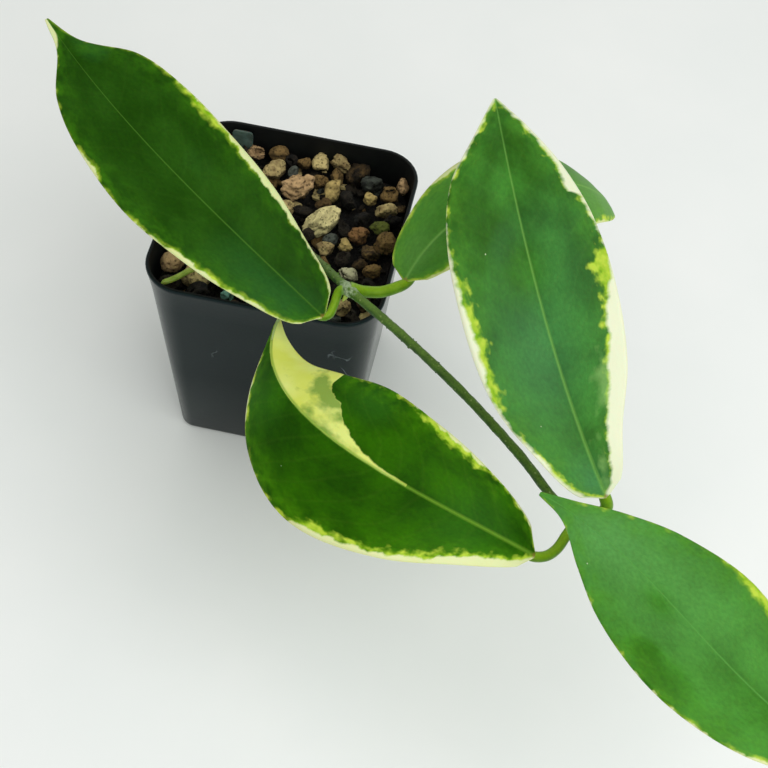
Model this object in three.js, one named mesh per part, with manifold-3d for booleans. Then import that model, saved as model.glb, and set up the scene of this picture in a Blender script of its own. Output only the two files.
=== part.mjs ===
// A young trailing hoya in a square nursery pot filled with a coarse gritty mix.
// Millimetres, +Z up, X and Y along the pot's sides, origin at the centre of the pot's underside.
import * as THREE from "three";
import { ConvexGeometry } from "three/addons/geometries/ConvexGeometry.js";
import { mergeVertices } from "three/addons/utils/BufferGeometryUtils.js";
import Module from "manifold-3d";

const wasm = await Module();
wasm.setup();

// Driving dimensions
const GAP = 0.3; // clearance where two pieces touch
const POT = {
  height: 82,
  rim: 75,
  base: 59,
  wall: 1,
  floor: 1.4,
  rimCorner: 13,
  baseCorner: 5,
  footEdge: 1,
  lipHeight: 4,
  lipOut: 0.6,
  lipSlope: 0.8,
  lipEdge: 0.5,
};
const DRAIN = { diameter: 8, offset: 17 };
const MIX = { top: 74, stones: 95, stoneLargest: 8.5, stoneSmallest: 3, seed: 20 };
const STONE = {
  corners: 11,
  leastReach: 0.86,
  reachRange: 0.28,
  rise: 0.12,
  spacing: 0.4,
  wallGap: 2,
  cornerGap: 8,
};
const DROPS = {
  tries: 6000,
  shrinkOver: 1500,
  shortest: 0.8,
  lengthRange: 0.4,
  narrowest: 0.65,
  widthRange: 0.3,
  sink: 0.4,
  heightRange: 0.3,
};
const STEM = { diameter: 2.7, nodeDiameter: 4.8, nodeLength: 7 };
const RESTING_BUD = { diameter: 1.6, length: 3.4, offset: [-0.6, -1.6, -1.4], lean: [-0.3, -0.7, -0.5] };
const END_BUD = { diameter: 2.6, length: 8 };
const PETIOLE_DIAMETER = 3.2;
const BLADE = {
  thickness: 1.1,
  edge: 0.6,
  channel: 8, // degrees by which a half blade is steeper beside the midrib
  petioleFoot: 0.035, // where the petiole meets the midrib, as a fraction of its length
  alongSteps: 22,
  acrossSteps: 8,
  crowding: 0.11, // how much closer the steps lie at the base and the tip
};
const SHOOT_DIAMETER = 1.8;
const LABEL = { width: 7, thickness: 0.8, top: 81.5, bottom: 42, x: -22.5, y: 33.7 };

// The vine's centreline: rooted in the mix, then node 1, node 2 and node 3, where it ends in a bud.
const ROOTED = [
  [-4, 11, 48],
  [-3, 8.5, 61],
  [0.5, 2.5, 72],
];
const NODE_1 = [28, -35.5, 97];
const NODE_2 = [105.3, -92.1, 86];
const NODE_3 = [172.5, -151.5, 77];
const VINE = [
  ...ROOTED,
  [7.8, -10, 81.5],
  [15.3, -20.9, 89.5],
  NODE_1,
  [46.3, -47.7, 96.5],
  [66.4, -60.6, 93],
  [86.9, -76.1, 89],
  [97.3, -86.1, 87.5],
  NODE_2,
  [120.5, -106.5, 84],
  [147, -130.5, 80],
  NODE_3,
];

// A leaf's outline is its half widths at these fractions of the midrib, from base to tip.
const STATIONS = [0, 0.05, 0.15, 0.3, 0.48, 0.66, 0.8, 0.91, 1];

// Each midrib is a cubic curve from base to tip. The upper face looks along `up` at the base and at the tip.
// A fold is the slope of a half blade, in degrees above level, at the base, the middle and the tip.
const LEAVES = {
  leaf_1_left: {
    midrib: [[22.2, -43.5, 92], [-10.5, -31.8, 111.5], [-45.8, -16.8, 126.5], [-74.5, 9, 138]],
    up: [[0.05, -0.25, 1], [0.3, -0.2, 1]],
    foldLeft: [8, 8, 8],
    foldRight: [10, 10, 10],
    halfLeft: [2.5, 8.7, 13.2, 17.8, 20.7, 18.3, 13, 3.3, 0.5],
    halfRight: [4, 8.9, 12.8, 17.7, 20.1, 19.8, 15.6, 4.7, 0.5],
    petiole: [NODE_1, [25.4, -35.8, 96], [24.4, -39, 93], [23.6, -41.8, 91.6]],
  },
  leaf_1_right: {
    midrib: [[43.5, -29, 98], [52, -1.5, 114.5], [91, 22.9, 112], [100.7, 27.4, 81.6]],
    up: [[-0.6, -0.25, 1], [0.4, 0.4, 1]],
    foldLeft: [5, -4, -3],
    foldRight: [-6, -23, -20],
    halfLeft: [2, 8.5, 12.6, 18.2, 21.5, 17.5, 13.6, 5.5, 0.5],
    halfRight: [2, 8, 12.5, 18, 20.4, 16.6, 11.7, 7.1, 0.5],
    petiole: [NODE_1, [32.8, -33.9, 95.6], [37.2, -32.4, 95.1], [41, -30.8, 96.2]],
  },
  leaf_2_right: {
    midrib: [[111.4, -86.8, 94], [90.5, -70, 121.5], [74, -40.5, 142.5], [60.5, -9, 157]],
    up: [[0.1, -0.6, 1], [0.1, -0.6, 1]],
    foldLeft: [10, 10, 10],
    foldRight: [10, 10, 10],
    halfLeft: [3.2, 8.6, 13.9, 20.5, 22.4, 21.4, 17, 7.9, 0.5],
    halfRight: [3, 6.9, 11, 17.8, 20.6, 19.2, 14.2, 7.5, 0.5],
    petiole: [NODE_2, [109.2, -89.6, 86.6], [112.2, -87.3, 89.5]],
  },
  leaf_2_left: {
    midrib: [[95.5, -105, 86], [57.5, -103.5, 106], [8, -93.5, 107.5], [9, -43, 87]],
    up: [[0, -0.2, 1], [-0.4, -0.5, 1]],
    foldLeft: [0, -4, -25],
    foldRight: [-3, -6, -62],
    halfLeft: [2.5, 6.6, 12.5, 20.9, 24.9, 19, 9.9, 2.3, 0.5],
    halfRight: [3.5, 9.1, 14.5, 19, 20.6, 16, 11.3, 6.5, 0.5],
    petiole: [NODE_2, [103.2, -95.3, 84.9], [101.2, -99.9, 84], [98.5, -103.1, 84.2]],
  },
  leaf_3: {
    midrib: [[180.8, -144.8, 86], [146.7, -138.4, 96], [126.3, -106.9, 101.5], [93.4, -96.1, 103]],
    up: [[0, -0.2, 1], [0, -0.2, 1]],
    foldLeft: [8, 8, 8],
    foldRight: [8, 8, 8],
    halfLeft: [1.5, 7, 13.5, 18.4, 20.6, 17.7, 11.1, 3.5, 0.5],
    halfRight: [1.5, 6, 13, 17.7, 19.4, 15, 8.7, 3.4, 0.5],
    petiole: [NODE_3, [178, -151, 79], [181.5, -148, 82]],
  },
};

// A small side shoot rises from the mix behind leaf 1 left and lies on the stones towards the corner.
const SHOOT = [
  [-18, -14, 62],
  [-20, -19, 74],
  [-23, -24, 78],
  [-27.5, -29, 78],
  [-31, -32, 78],
];

// The large stones, placed by hand: x, y, length, width, turn in degrees.
const LARGE_STONES = [
  [10, 7.5, 13, 10, 35],
  [-1.5, 19.5, 11.5, 9.5, 10],
  [10.5, 34, 7, 5.5, -20],
  [4, 32.5, 5, 6.5, 0],
  [-10, 33, 6.5, 5.5, 0],
  [-18, 32, 7, 4.5, 0],
  [-10, 25.5, 9, 6, 60],
  [10.5, 21.5, 5.5, 9, 0],
  [22.5, 28, 7.5, 6, 20],
  [29, 24, 7, 5.5, -30],
  [32, 29.5, 4.5, 6, 0],
  [29, 17.5, 6.5, 5.5, 15],
  [23, 21.5, 4.5, 4.5, 0],
  [23, 5, 7, 6, 0],
  [28.5, 10, 6.5, 4.5, 10],
  [19.5, 0, 4.5, 4.5, 0],
  [13.5, -3, 6, 4.5, 30],
  [23.5, -11, 6, 5, 0],
  [30, -8, 5.5, 5, 0],
  [28, -1.5, 5, 6, 20],
  [-31, -20, 8, 6.5, 70],
  [-11, -28.5, 5, 4.5, 0],
  [16, -28, 7, 6, 0],
  [24, -25, 6, 5, 40],
  [-22, 2, 9, 7, 15],
  [-14, -12, 8, 7, 50],
  [-28, 16, 8, 6, -40],
];

const vector = ([x, y, z]) => new THREE.Vector3(x, y, z);
const radians = THREE.MathUtils.degToRad;
const { lerp } = THREE.MathUtils;

// Closed solids: from a geometry to a body that can be joined and cut, and back.
function body(geometry) {
  const bare = new THREE.BufferGeometry();
  bare.setAttribute("position", geometry.getAttribute("position").clone());
  if (geometry.index) bare.setIndex(geometry.index.clone());
  const merged = mergeVertices(bare, 1e-4);
  const mesh = new wasm.Mesh({
    numProp: 3,
    vertProperties: merged.getAttribute("position").array,
    triVerts: new Uint32Array(merged.index.array),
  });
  return new wasm.Manifold(mesh);
}

function geometryOf(solid) {
  const { vertProperties, triVerts } = solid.getMesh();
  const geometry = new THREE.BufferGeometry();
  geometry.setAttribute("position", new THREE.BufferAttribute(vertProperties, 3));
  geometry.setIndex(new THREE.BufferAttribute(triVerts, 1));
  geometry.computeVertexNormals();
  return geometry;
}

// A closed skin through rings of equally many points, with a flat cap on the first and the last ring.
function loft(rings) {
  const count = rings[0].length;
  const points = rings.flat();
  const index = [];
  for (let ring = 0; ring < rings.length - 1; ring++) {
    for (let i = 0; i < count; i++) {
      const next = (i + 1) % count;
      const a = ring * count + i;
      const b = ring * count + next;
      index.push(a, b, b + count, a, b + count, a + count);
    }
  }
  const caps = [rings[0], rings[rings.length - 1]];
  caps.forEach((ring, end) => {
    const centre = ring.reduce((sum, p) => sum.add(p), new THREE.Vector3()).divideScalar(count);
    const hub = points.push(centre) - 1;
    const first = end * (rings.length - 1) * count;
    for (let i = 0; i < count; i++) {
      const here = first + i;
      const next = first + ((i + 1) % count);
      index.push(...(end ? [here, next, hub] : [next, here, hub]));
    }
  });
  return new THREE.BufferGeometry().setFromPoints(points).setIndex(index);
}

// A level square with rounded corners, counterclockwise seen from above.
function roundedSquare(half, corner, z, arcSteps = 6) {
  const points = [];
  for (let side = 0; side < 4; side++) {
    for (let step = 0; step <= arcSteps; step++) {
      const angle = (side + step / arcSteps) * (Math.PI / 2);
      const turn = (side + 0.5) * (Math.PI / 2);
      const x = (half - corner) * Math.SQRT2 * Math.cos(turn) + corner * Math.cos(angle);
      const y = (half - corner) * Math.SQRT2 * Math.sin(turn) + corner * Math.sin(angle);
      points.push(new THREE.Vector3(x, y, z));
    }
  }
  return points;
}

// A round bar along a smooth curve.
function bar(points, diameter, sides = 8, steps = 10) {
  const outline = [];
  for (let i = 0; i < sides; i++) {
    const angle = (i / sides) * 2 * Math.PI;
    outline.push(new THREE.Vector2((diameter / 2) * Math.cos(angle), (diameter / 2) * Math.sin(angle)));
  }
  const path = new THREE.CatmullRomCurve3(points.map(vector), false, "centripetal");
  return new THREE.ExtrudeGeometry(new THREE.Shape(outline), { steps, extrudePath: path, curveSegments: 1 });
}

// An egg-shaped swelling centred on a point, with its long axis along a direction.
function swelling(centre, direction, diameter, length) {
  const geometry = new THREE.SphereGeometry(0.5, 12, 8);
  geometry.scale(diameter, length, diameter);
  const turn = new THREE.Quaternion().setFromUnitVectors(
    new THREE.Vector3(0, 1, 0),
    direction.clone().normalize(),
  );
  return geometry.applyQuaternion(turn).translate(centre.x, centre.y, centre.z);
}

// Pot: a thin cup that narrows towards its base, with a shallow lip and four round drain holes.
const outerHalf = (z) => lerp(POT.base / 2, POT.rim / 2 - POT.lipOut, z / POT.height);
const outerCorner = (z) => lerp(POT.baseCorner, POT.rimCorner - POT.lipOut, z / POT.height);
const cavityRing = (z, inset = 0) =>
  roundedSquare(outerHalf(z) - POT.wall - inset, outerCorner(z) - POT.wall - inset, z);

function pot() {
  const lipFoot = POT.height - POT.lipHeight;
  const rings = [
    roundedSquare(outerHalf(0) - POT.footEdge, outerCorner(0) - POT.footEdge, 0),
    roundedSquare(outerHalf(0), outerCorner(0), POT.footEdge),
    roundedSquare(outerHalf(lipFoot), outerCorner(lipFoot), lipFoot),
    roundedSquare(POT.rim / 2, POT.rimCorner, lipFoot + POT.lipSlope),
    roundedSquare(POT.rim / 2, POT.rimCorner, POT.height - POT.lipEdge),
    roundedSquare(POT.rim / 2 - POT.lipEdge, POT.rimCorner - POT.lipEdge, POT.height),
    cavityRing(POT.height),
    cavityRing(POT.floor),
  ];
  let solid = body(loft(rings));
  for (const sideX of [-1, 1]) {
    for (const sideY of [-1, 1]) {
      const hole = new THREE.CylinderGeometry(DRAIN.diameter / 2, DRAIN.diameter / 2, 3 * POT.floor, 20);
      hole.rotateX(Math.PI / 2).translate(sideX * DRAIN.offset, sideY * DRAIN.offset, POT.floor / 2);
      solid = solid.subtract(body(hole));
    }
  }
  return solid;
}

// Vine: one bar with a swelling at each node, two resting buds and the closed bud that ends it.
function vine(extra = 0) {
  const nodes = [NODE_1, NODE_2, NODE_3];
  const curve = new THREE.CatmullRomCurve3(VINE.map(vector), false, "centripetal");
  let solid = body(bar(VINE, STEM.diameter + 2 * extra, 8, 60));
  for (const node of nodes) {
    const part = curve.getTangent(VINE.indexOf(node) / (VINE.length - 1));
    const swell = swelling(vector(node), part, STEM.nodeDiameter + 2 * extra, STEM.nodeLength + 2 * extra);
    solid = solid.add(body(swell));
  }
  for (const node of nodes.slice(0, 2)) {
    const centre = vector(node).add(vector(RESTING_BUD.offset));
    const lean = vector(RESTING_BUD.lean);
    const bud = swelling(centre, lean, RESTING_BUD.diameter + 2 * extra, RESTING_BUD.length + 2 * extra);
    solid = solid.add(body(bud));
  }
  const ahead = curve.getTangent(1);
  const tip = vector(NODE_3).addScaledVector(ahead, END_BUD.length / 2);
  const endBud = swelling(tip, ahead, END_BUD.diameter + 2 * extra, END_BUD.length + 2 * extra);
  return solid.add(body(endBud));
}

// Smooth values between the stations of a leaf's outline.
function halfWidth(values, s) {
  const last = STATIONS.length - 1;
  const slope = (k) => {
    const before = Math.max(k - 1, 0);
    const after = Math.min(k + 1, last);
    return (values[after] - values[before]) / (STATIONS[after] - STATIONS[before]);
  };
  let i = 0;
  while (i < last - 1 && s > STATIONS[i + 1]) i++;
  const span = STATIONS[i + 1] - STATIONS[i];
  const t = (s - STATIONS[i]) / span;
  return (
    (1 + 2 * t) * (1 - t) ** 2 * values[i] +
    t * (1 - t) ** 2 * span * slope(i) +
    t * t * (3 - 2 * t) * values[i + 1] +
    t * t * (t - 1) * span * slope(i + 1)
  );
}

// The parabola through a value at the base, the middle and the tip.
const along = ([base, middle, tip], s) =>
  base * (1 - s) * (1 - 2 * s) + 4 * middle * s * (1 - s) + tip * s * (2 * s - 1);

// A point of a leaf's middle surface: s runs from base to tip, v from the left margin to the right one.
function leafPoint(leaf, s, v) {
  const midrib = new THREE.CubicBezierCurve3(...leaf.midrib.map(vector));
  const forward = midrib.getTangent(s);
  const up = vector(leaf.up[0]).lerp(vector(leaf.up[1]), s);
  up.addScaledVector(forward, -up.dot(forward)).normalize();
  const across = new THREE.Vector3().crossVectors(forward, up);
  const half = halfWidth(v < 0 ? leaf.halfLeft : leaf.halfRight, s) * Math.abs(v);
  const fold = along(v < 0 ? leaf.foldLeft : leaf.foldRight, s);
  const slope = radians(fold + BLADE.channel * (1 - Math.abs(v)));
  return midrib
    .getPoint(s)
    .addScaledVector(across, Math.sign(v) * half * Math.cos(slope))
    .addScaledVector(up, half * Math.sin(slope));
}

// Stations along a blade, closer together at the rounded base and the narrow tip.
const bladeStation = (i) => {
  const t = i / BLADE.alongSteps;
  return t - BLADE.crowding * Math.sin(2 * Math.PI * t);
};

// Blade: the middle surface thickened both ways, thinner towards its margins.
function blade(leaf) {
  const rows = BLADE.alongSteps + 1;
  const columns = BLADE.acrossSteps + 1;
  const place = (i, j) => i * columns + j;
  const middle = [];
  const faces = [];
  for (let i = 0; i < rows; i++) {
    for (let j = 0; j < columns; j++) {
      middle.push(leafPoint(leaf, bladeStation(i), (2 * j) / BLADE.acrossSteps - 1));
      if (i && j) {
        faces.push([place(i - 1, j - 1), place(i - 1, j), place(i, j)]);
        faces.push([place(i - 1, j - 1), place(i, j), place(i, j - 1)]);
      }
    }
  }
  const sheet = new THREE.BufferGeometry().setFromPoints(middle).setIndex(faces.flat());
  sheet.computeVertexNormals();
  const normal = new THREE.Vector3();
  const offset = (side) =>
    middle.map((point, k) => {
      const v = (2 * (k % columns)) / BLADE.acrossSteps - 1;
      const thickness = lerp(BLADE.thickness, BLADE.edge, v * v);
      normal.fromBufferAttribute(sheet.getAttribute("normal"), k);
      return point.clone().addScaledVector(normal, (side * thickness) / 2);
    });
  const under = middle.length;
  const rim = [];
  for (let j = 0; j < columns - 1; j++) rim.push(place(0, j));
  for (let i = 0; i < rows - 1; i++) rim.push(place(i, columns - 1));
  for (let j = columns - 1; j > 0; j--) rim.push(place(rows - 1, j));
  for (let i = rows - 1; i > 0; i--) rim.push(place(i, 0));
  const index = faces.flatMap(([a, b, c]) => [a, b, c, a + under, c + under, b + under]);
  rim.forEach((here, k) => {
    const next = rim[(k + 1) % rim.length];
    index.push(here, here + under, next + under, here, next + under, next);
  });
  return new THREE.BufferGeometry().setFromPoints([...offset(1), ...offset(-1)]).setIndex(index);
}

// Leaf: a blade grown together with its petiole, which runs in under the midrib's foot
// and ends just clear of the vine.
function leaf(shape) {
  const foot = leafPoint(shape, BLADE.petioleFoot, 0);
  foot.z -= PETIOLE_DIAMETER / 4;
  const stalk = body(bar([...shape.petiole, foot.toArray()], PETIOLE_DIAMETER, 8, 8));
  return body(blade(shape)).add(stalk).subtract(vine(GAP));
}

const shoot = (extra = 0) => body(bar(SHOOT, SHOOT_DIAMETER + 2 * extra, 6, 14));

// Label: a blank flat stake that leans against the pot's back wall.
function label(extra = 0) {
  const length = LABEL.top - LABEL.bottom;
  const stake = new THREE.BoxGeometry(
    LABEL.width + 2 * extra,
    LABEL.thickness + 2 * extra,
    length + 2 * extra,
  );
  const lean = Math.atan((POT.rim - POT.base) / 2 / POT.height);
  stake.translate(0, 0, -length / 2).rotateX(-lean).translate(LABEL.x, LABEL.y, LABEL.top);
  return body(stake);
}

// Random numbers that come out the same on every run.
function seeded(seed) {
  let state = seed;
  return () => {
    state = (Math.imul(state, 1664525) + 1013904223) >>> 0;
    return state / 2 ** 32;
  };
}

// Stone: the hull of points scattered near an egg shape.
function stone({ x, y, z, length, width, turn }, random) {
  const { corners } = STONE;
  const golden = Math.PI * (3 - Math.sqrt(5));
  const points = [];
  for (let i = 0; i < corners; i++) {
    const height = 1 - (2 * (i + 0.5)) / corners;
    const ring = Math.sqrt(1 - height * height);
    const jitter = STONE.leastReach + STONE.reachRange * random();
    points.push(
      new THREE.Vector3(
        (ring * Math.cos(i * golden) * jitter * length) / 2,
        (ring * Math.sin(i * golden) * jitter * width) / 2,
        (height * jitter * Math.min(length, width)) / 2,
      ),
    );
  }
  const geometry = new ConvexGeometry(points);
  return geometry.rotateZ(radians(turn)).translate(x, y, z);
}

// Small stones are dropped at random between the large ones and kept where they have room.
function stonePlaces(random) {
  const places = LARGE_STONES.map(([x, y, length, width, turn]) => {
    return { x, y, length, width, turn, z: MIX.top + STONE.rise * Math.min(length, width) };
  });
  const reach = outerHalf(MIX.top) - POT.wall - STONE.wallGap;
  let tries = 0;
  while (places.length < MIX.stones && tries < DROPS.tries) {
    tries++;
    const shrink = Math.min(1, tries / DROPS.shrinkOver);
    const size = lerp(MIX.stoneLargest, MIX.stoneSmallest, shrink);
    const length = size * (DROPS.shortest + DROPS.lengthRange * random());
    const width = length * (DROPS.narrowest + DROPS.widthRange * random());
    const x = reach * (2 * random() - 1);
    const y = reach * (2 * random() - 1);
    const turn = 360 * random();
    const z = MIX.top + (random() - DROPS.sink) * DROPS.heightRange * width;
    const crowded = places.some((other) => {
      const apart = Math.hypot(other.x - x, other.y - y);
      return apart < STONE.spacing * (length + Math.sqrt(other.length * other.width));
    });
    const inCorner = Math.abs(x) + Math.abs(y) > 2 * reach - STONE.cornerGap;
    if (!crowded && !inCorner) places.push({ x, y, z, length, width, turn });
  }
  return places;
}

// Gritty mix: one filling with stones grown into its top, and a plain hole for each thing that stands in it.
function gritBed() {
  const random = seeded(MIX.seed);
  const bottom = POT.floor + GAP;
  let solid = body(loft([cavityRing(bottom, GAP), cavityRing(MIX.top, GAP)]));
  for (const place of stonePlaces(random)) {
    solid = solid.add(body(stone(place, random)));
  }
  const room = body(loft([cavityRing(bottom, GAP), cavityRing(POT.height, GAP)]));
  return solid.intersect(room).subtract(vine(GAP)).subtract(shoot(GAP)).subtract(label(GAP));
}

const finish = (color, roughness, more = {}) =>
  new THREE.MeshStandardMaterial({ color, roughness, metalness: 0, ...more });
const MATERIALS = {
  pot: finish(0x23272b, 0.45),
  grit: finish(0x8d7a63, 0.95),
  stem: finish(0x5d6b3a, 0.7),
  leaf: finish(0x2f5e22, 0.4),
  shoot: finish(0x9db35a, 0.6),
  label: finish(0x7d918b, 0.5, { transparent: true, opacity: 0.8 }),
};

const plant = new THREE.Group();

function addPiece(name, solid, material) {
  const mesh = new THREE.Mesh(geometryOf(solid), material);
  mesh.name = name;
  plant.add(mesh);
}

addPiece("pot", pot(), MATERIALS.pot);
addPiece("grit_bed", gritBed(), MATERIALS.grit);
addPiece("vine_stem", vine(), MATERIALS.stem);
addPiece("side_shoot", shoot(), MATERIALS.shoot);
addPiece("plant_label", label(), MATERIALS.label);
for (const [name, shape] of Object.entries(LEAVES)) {
  addPiece(name, leaf(shape), MATERIALS.leaf);
}

export default plant;
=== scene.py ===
import math

import bmesh
import bpy
import numpy as np
from mathutils import Matrix, Vector, noise


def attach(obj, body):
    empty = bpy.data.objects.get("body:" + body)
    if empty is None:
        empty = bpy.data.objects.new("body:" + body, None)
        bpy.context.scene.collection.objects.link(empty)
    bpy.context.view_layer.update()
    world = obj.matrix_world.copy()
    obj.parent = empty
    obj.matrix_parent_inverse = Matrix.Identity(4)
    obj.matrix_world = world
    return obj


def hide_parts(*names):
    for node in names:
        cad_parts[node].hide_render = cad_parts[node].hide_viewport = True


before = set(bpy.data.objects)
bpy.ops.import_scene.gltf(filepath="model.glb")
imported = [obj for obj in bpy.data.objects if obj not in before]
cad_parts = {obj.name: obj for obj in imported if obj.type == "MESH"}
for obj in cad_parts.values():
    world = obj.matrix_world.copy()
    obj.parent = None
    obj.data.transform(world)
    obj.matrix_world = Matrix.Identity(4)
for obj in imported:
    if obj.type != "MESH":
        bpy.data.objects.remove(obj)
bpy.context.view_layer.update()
MM = 0.001

# Sizes

POT = {
    "height": 82,
    "rim": 75,
    "base": 59,
    "wall": 1,
    "floor": 1.4,
    "rim_corner": 13,
    "base_corner": 5,
    "lip_height": 4,
    "lip_out": 0.6,
}
DRAIN = {"diameter": 8, "offset": 17}
MIX = {
    "top": 74,
    "fines_top": 69.2,
    "fines_bottom": 2.6,
    "wall_gap": 0.3,
    "stones": 95,
    "largest": 8.5,
    "smallest": 3,
    "crumbs": 330,
    "seed": 20,
}
CORNER_ROOM = 8  # how far the pot's rounded corners keep stones and crumbs out
STEM_RADIUS = 1.35
NODE_RADIUS = 2.05
NODE_REACH = 2.4  # how far a node's swelling runs out along the stem
WARTS = {"from": 45, "count": 96, "least": 0.22, "spread": 0.22, "seed": 11}
RESTING_BUD = {"direction": (-0.3, -0.7, -0.5), "width": 1.7, "length": 3.6}
END_BUD = {"width": 2.4, "length": 7.8}
SHOOT_RADIUS = 0.9
LABEL = {
    "width": 7,
    "thickness": 0.8,
    "corner": 1.4,
    "edge": 0.12,
    "top": 81.5,
    "bottom": 42,
    "x": -22.5,
    "y": 33.7,
}

NODE_1 = (28, -35.5, 97)
NODE_2 = (105.3, -92.1, 86)
NODE_3 = (172.5, -151.5, 77)
VINE = [
    (-4, 11, 48),
    (-3, 8.5, 61),
    (0.5, 2.5, 72),
    (7.8, -10, 81.5),
    (15.3, -20.9, 89.5),
    NODE_1,
    (46.3, -47.7, 96.5),
    (66.4, -60.6, 93),
    (86.9, -76.1, 89),
    (97.3, -86.1, 87.5),
    NODE_2,
    (120.5, -106.5, 84),
    (147, -130.5, 80),
    NODE_3,
]
SHOOT = [(-18, -14, 62), (-20, -19, 74), (-23, -24, 78), (-27.5, -29, 78), (-31, -32, 78)]

# A blade is thickest along its midrib. At the margin it has this share of that thickness.
BLADE = {"thickness": 0.9, "margin_share": 0.55, "groove": 0.12, "groove_width": 0.9}
VEIN_GAP = 8.5  # between two side veins, along the midrib
NO_MARK = -9  # a marking that is nowhere near

# A leaf's outline is its half widths at these fractions of the midrib, from base to tip.
STATIONS = np.array([0, 0.05, 0.15, 0.3, 0.48, 0.66, 0.8, 0.91, 1])

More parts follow.
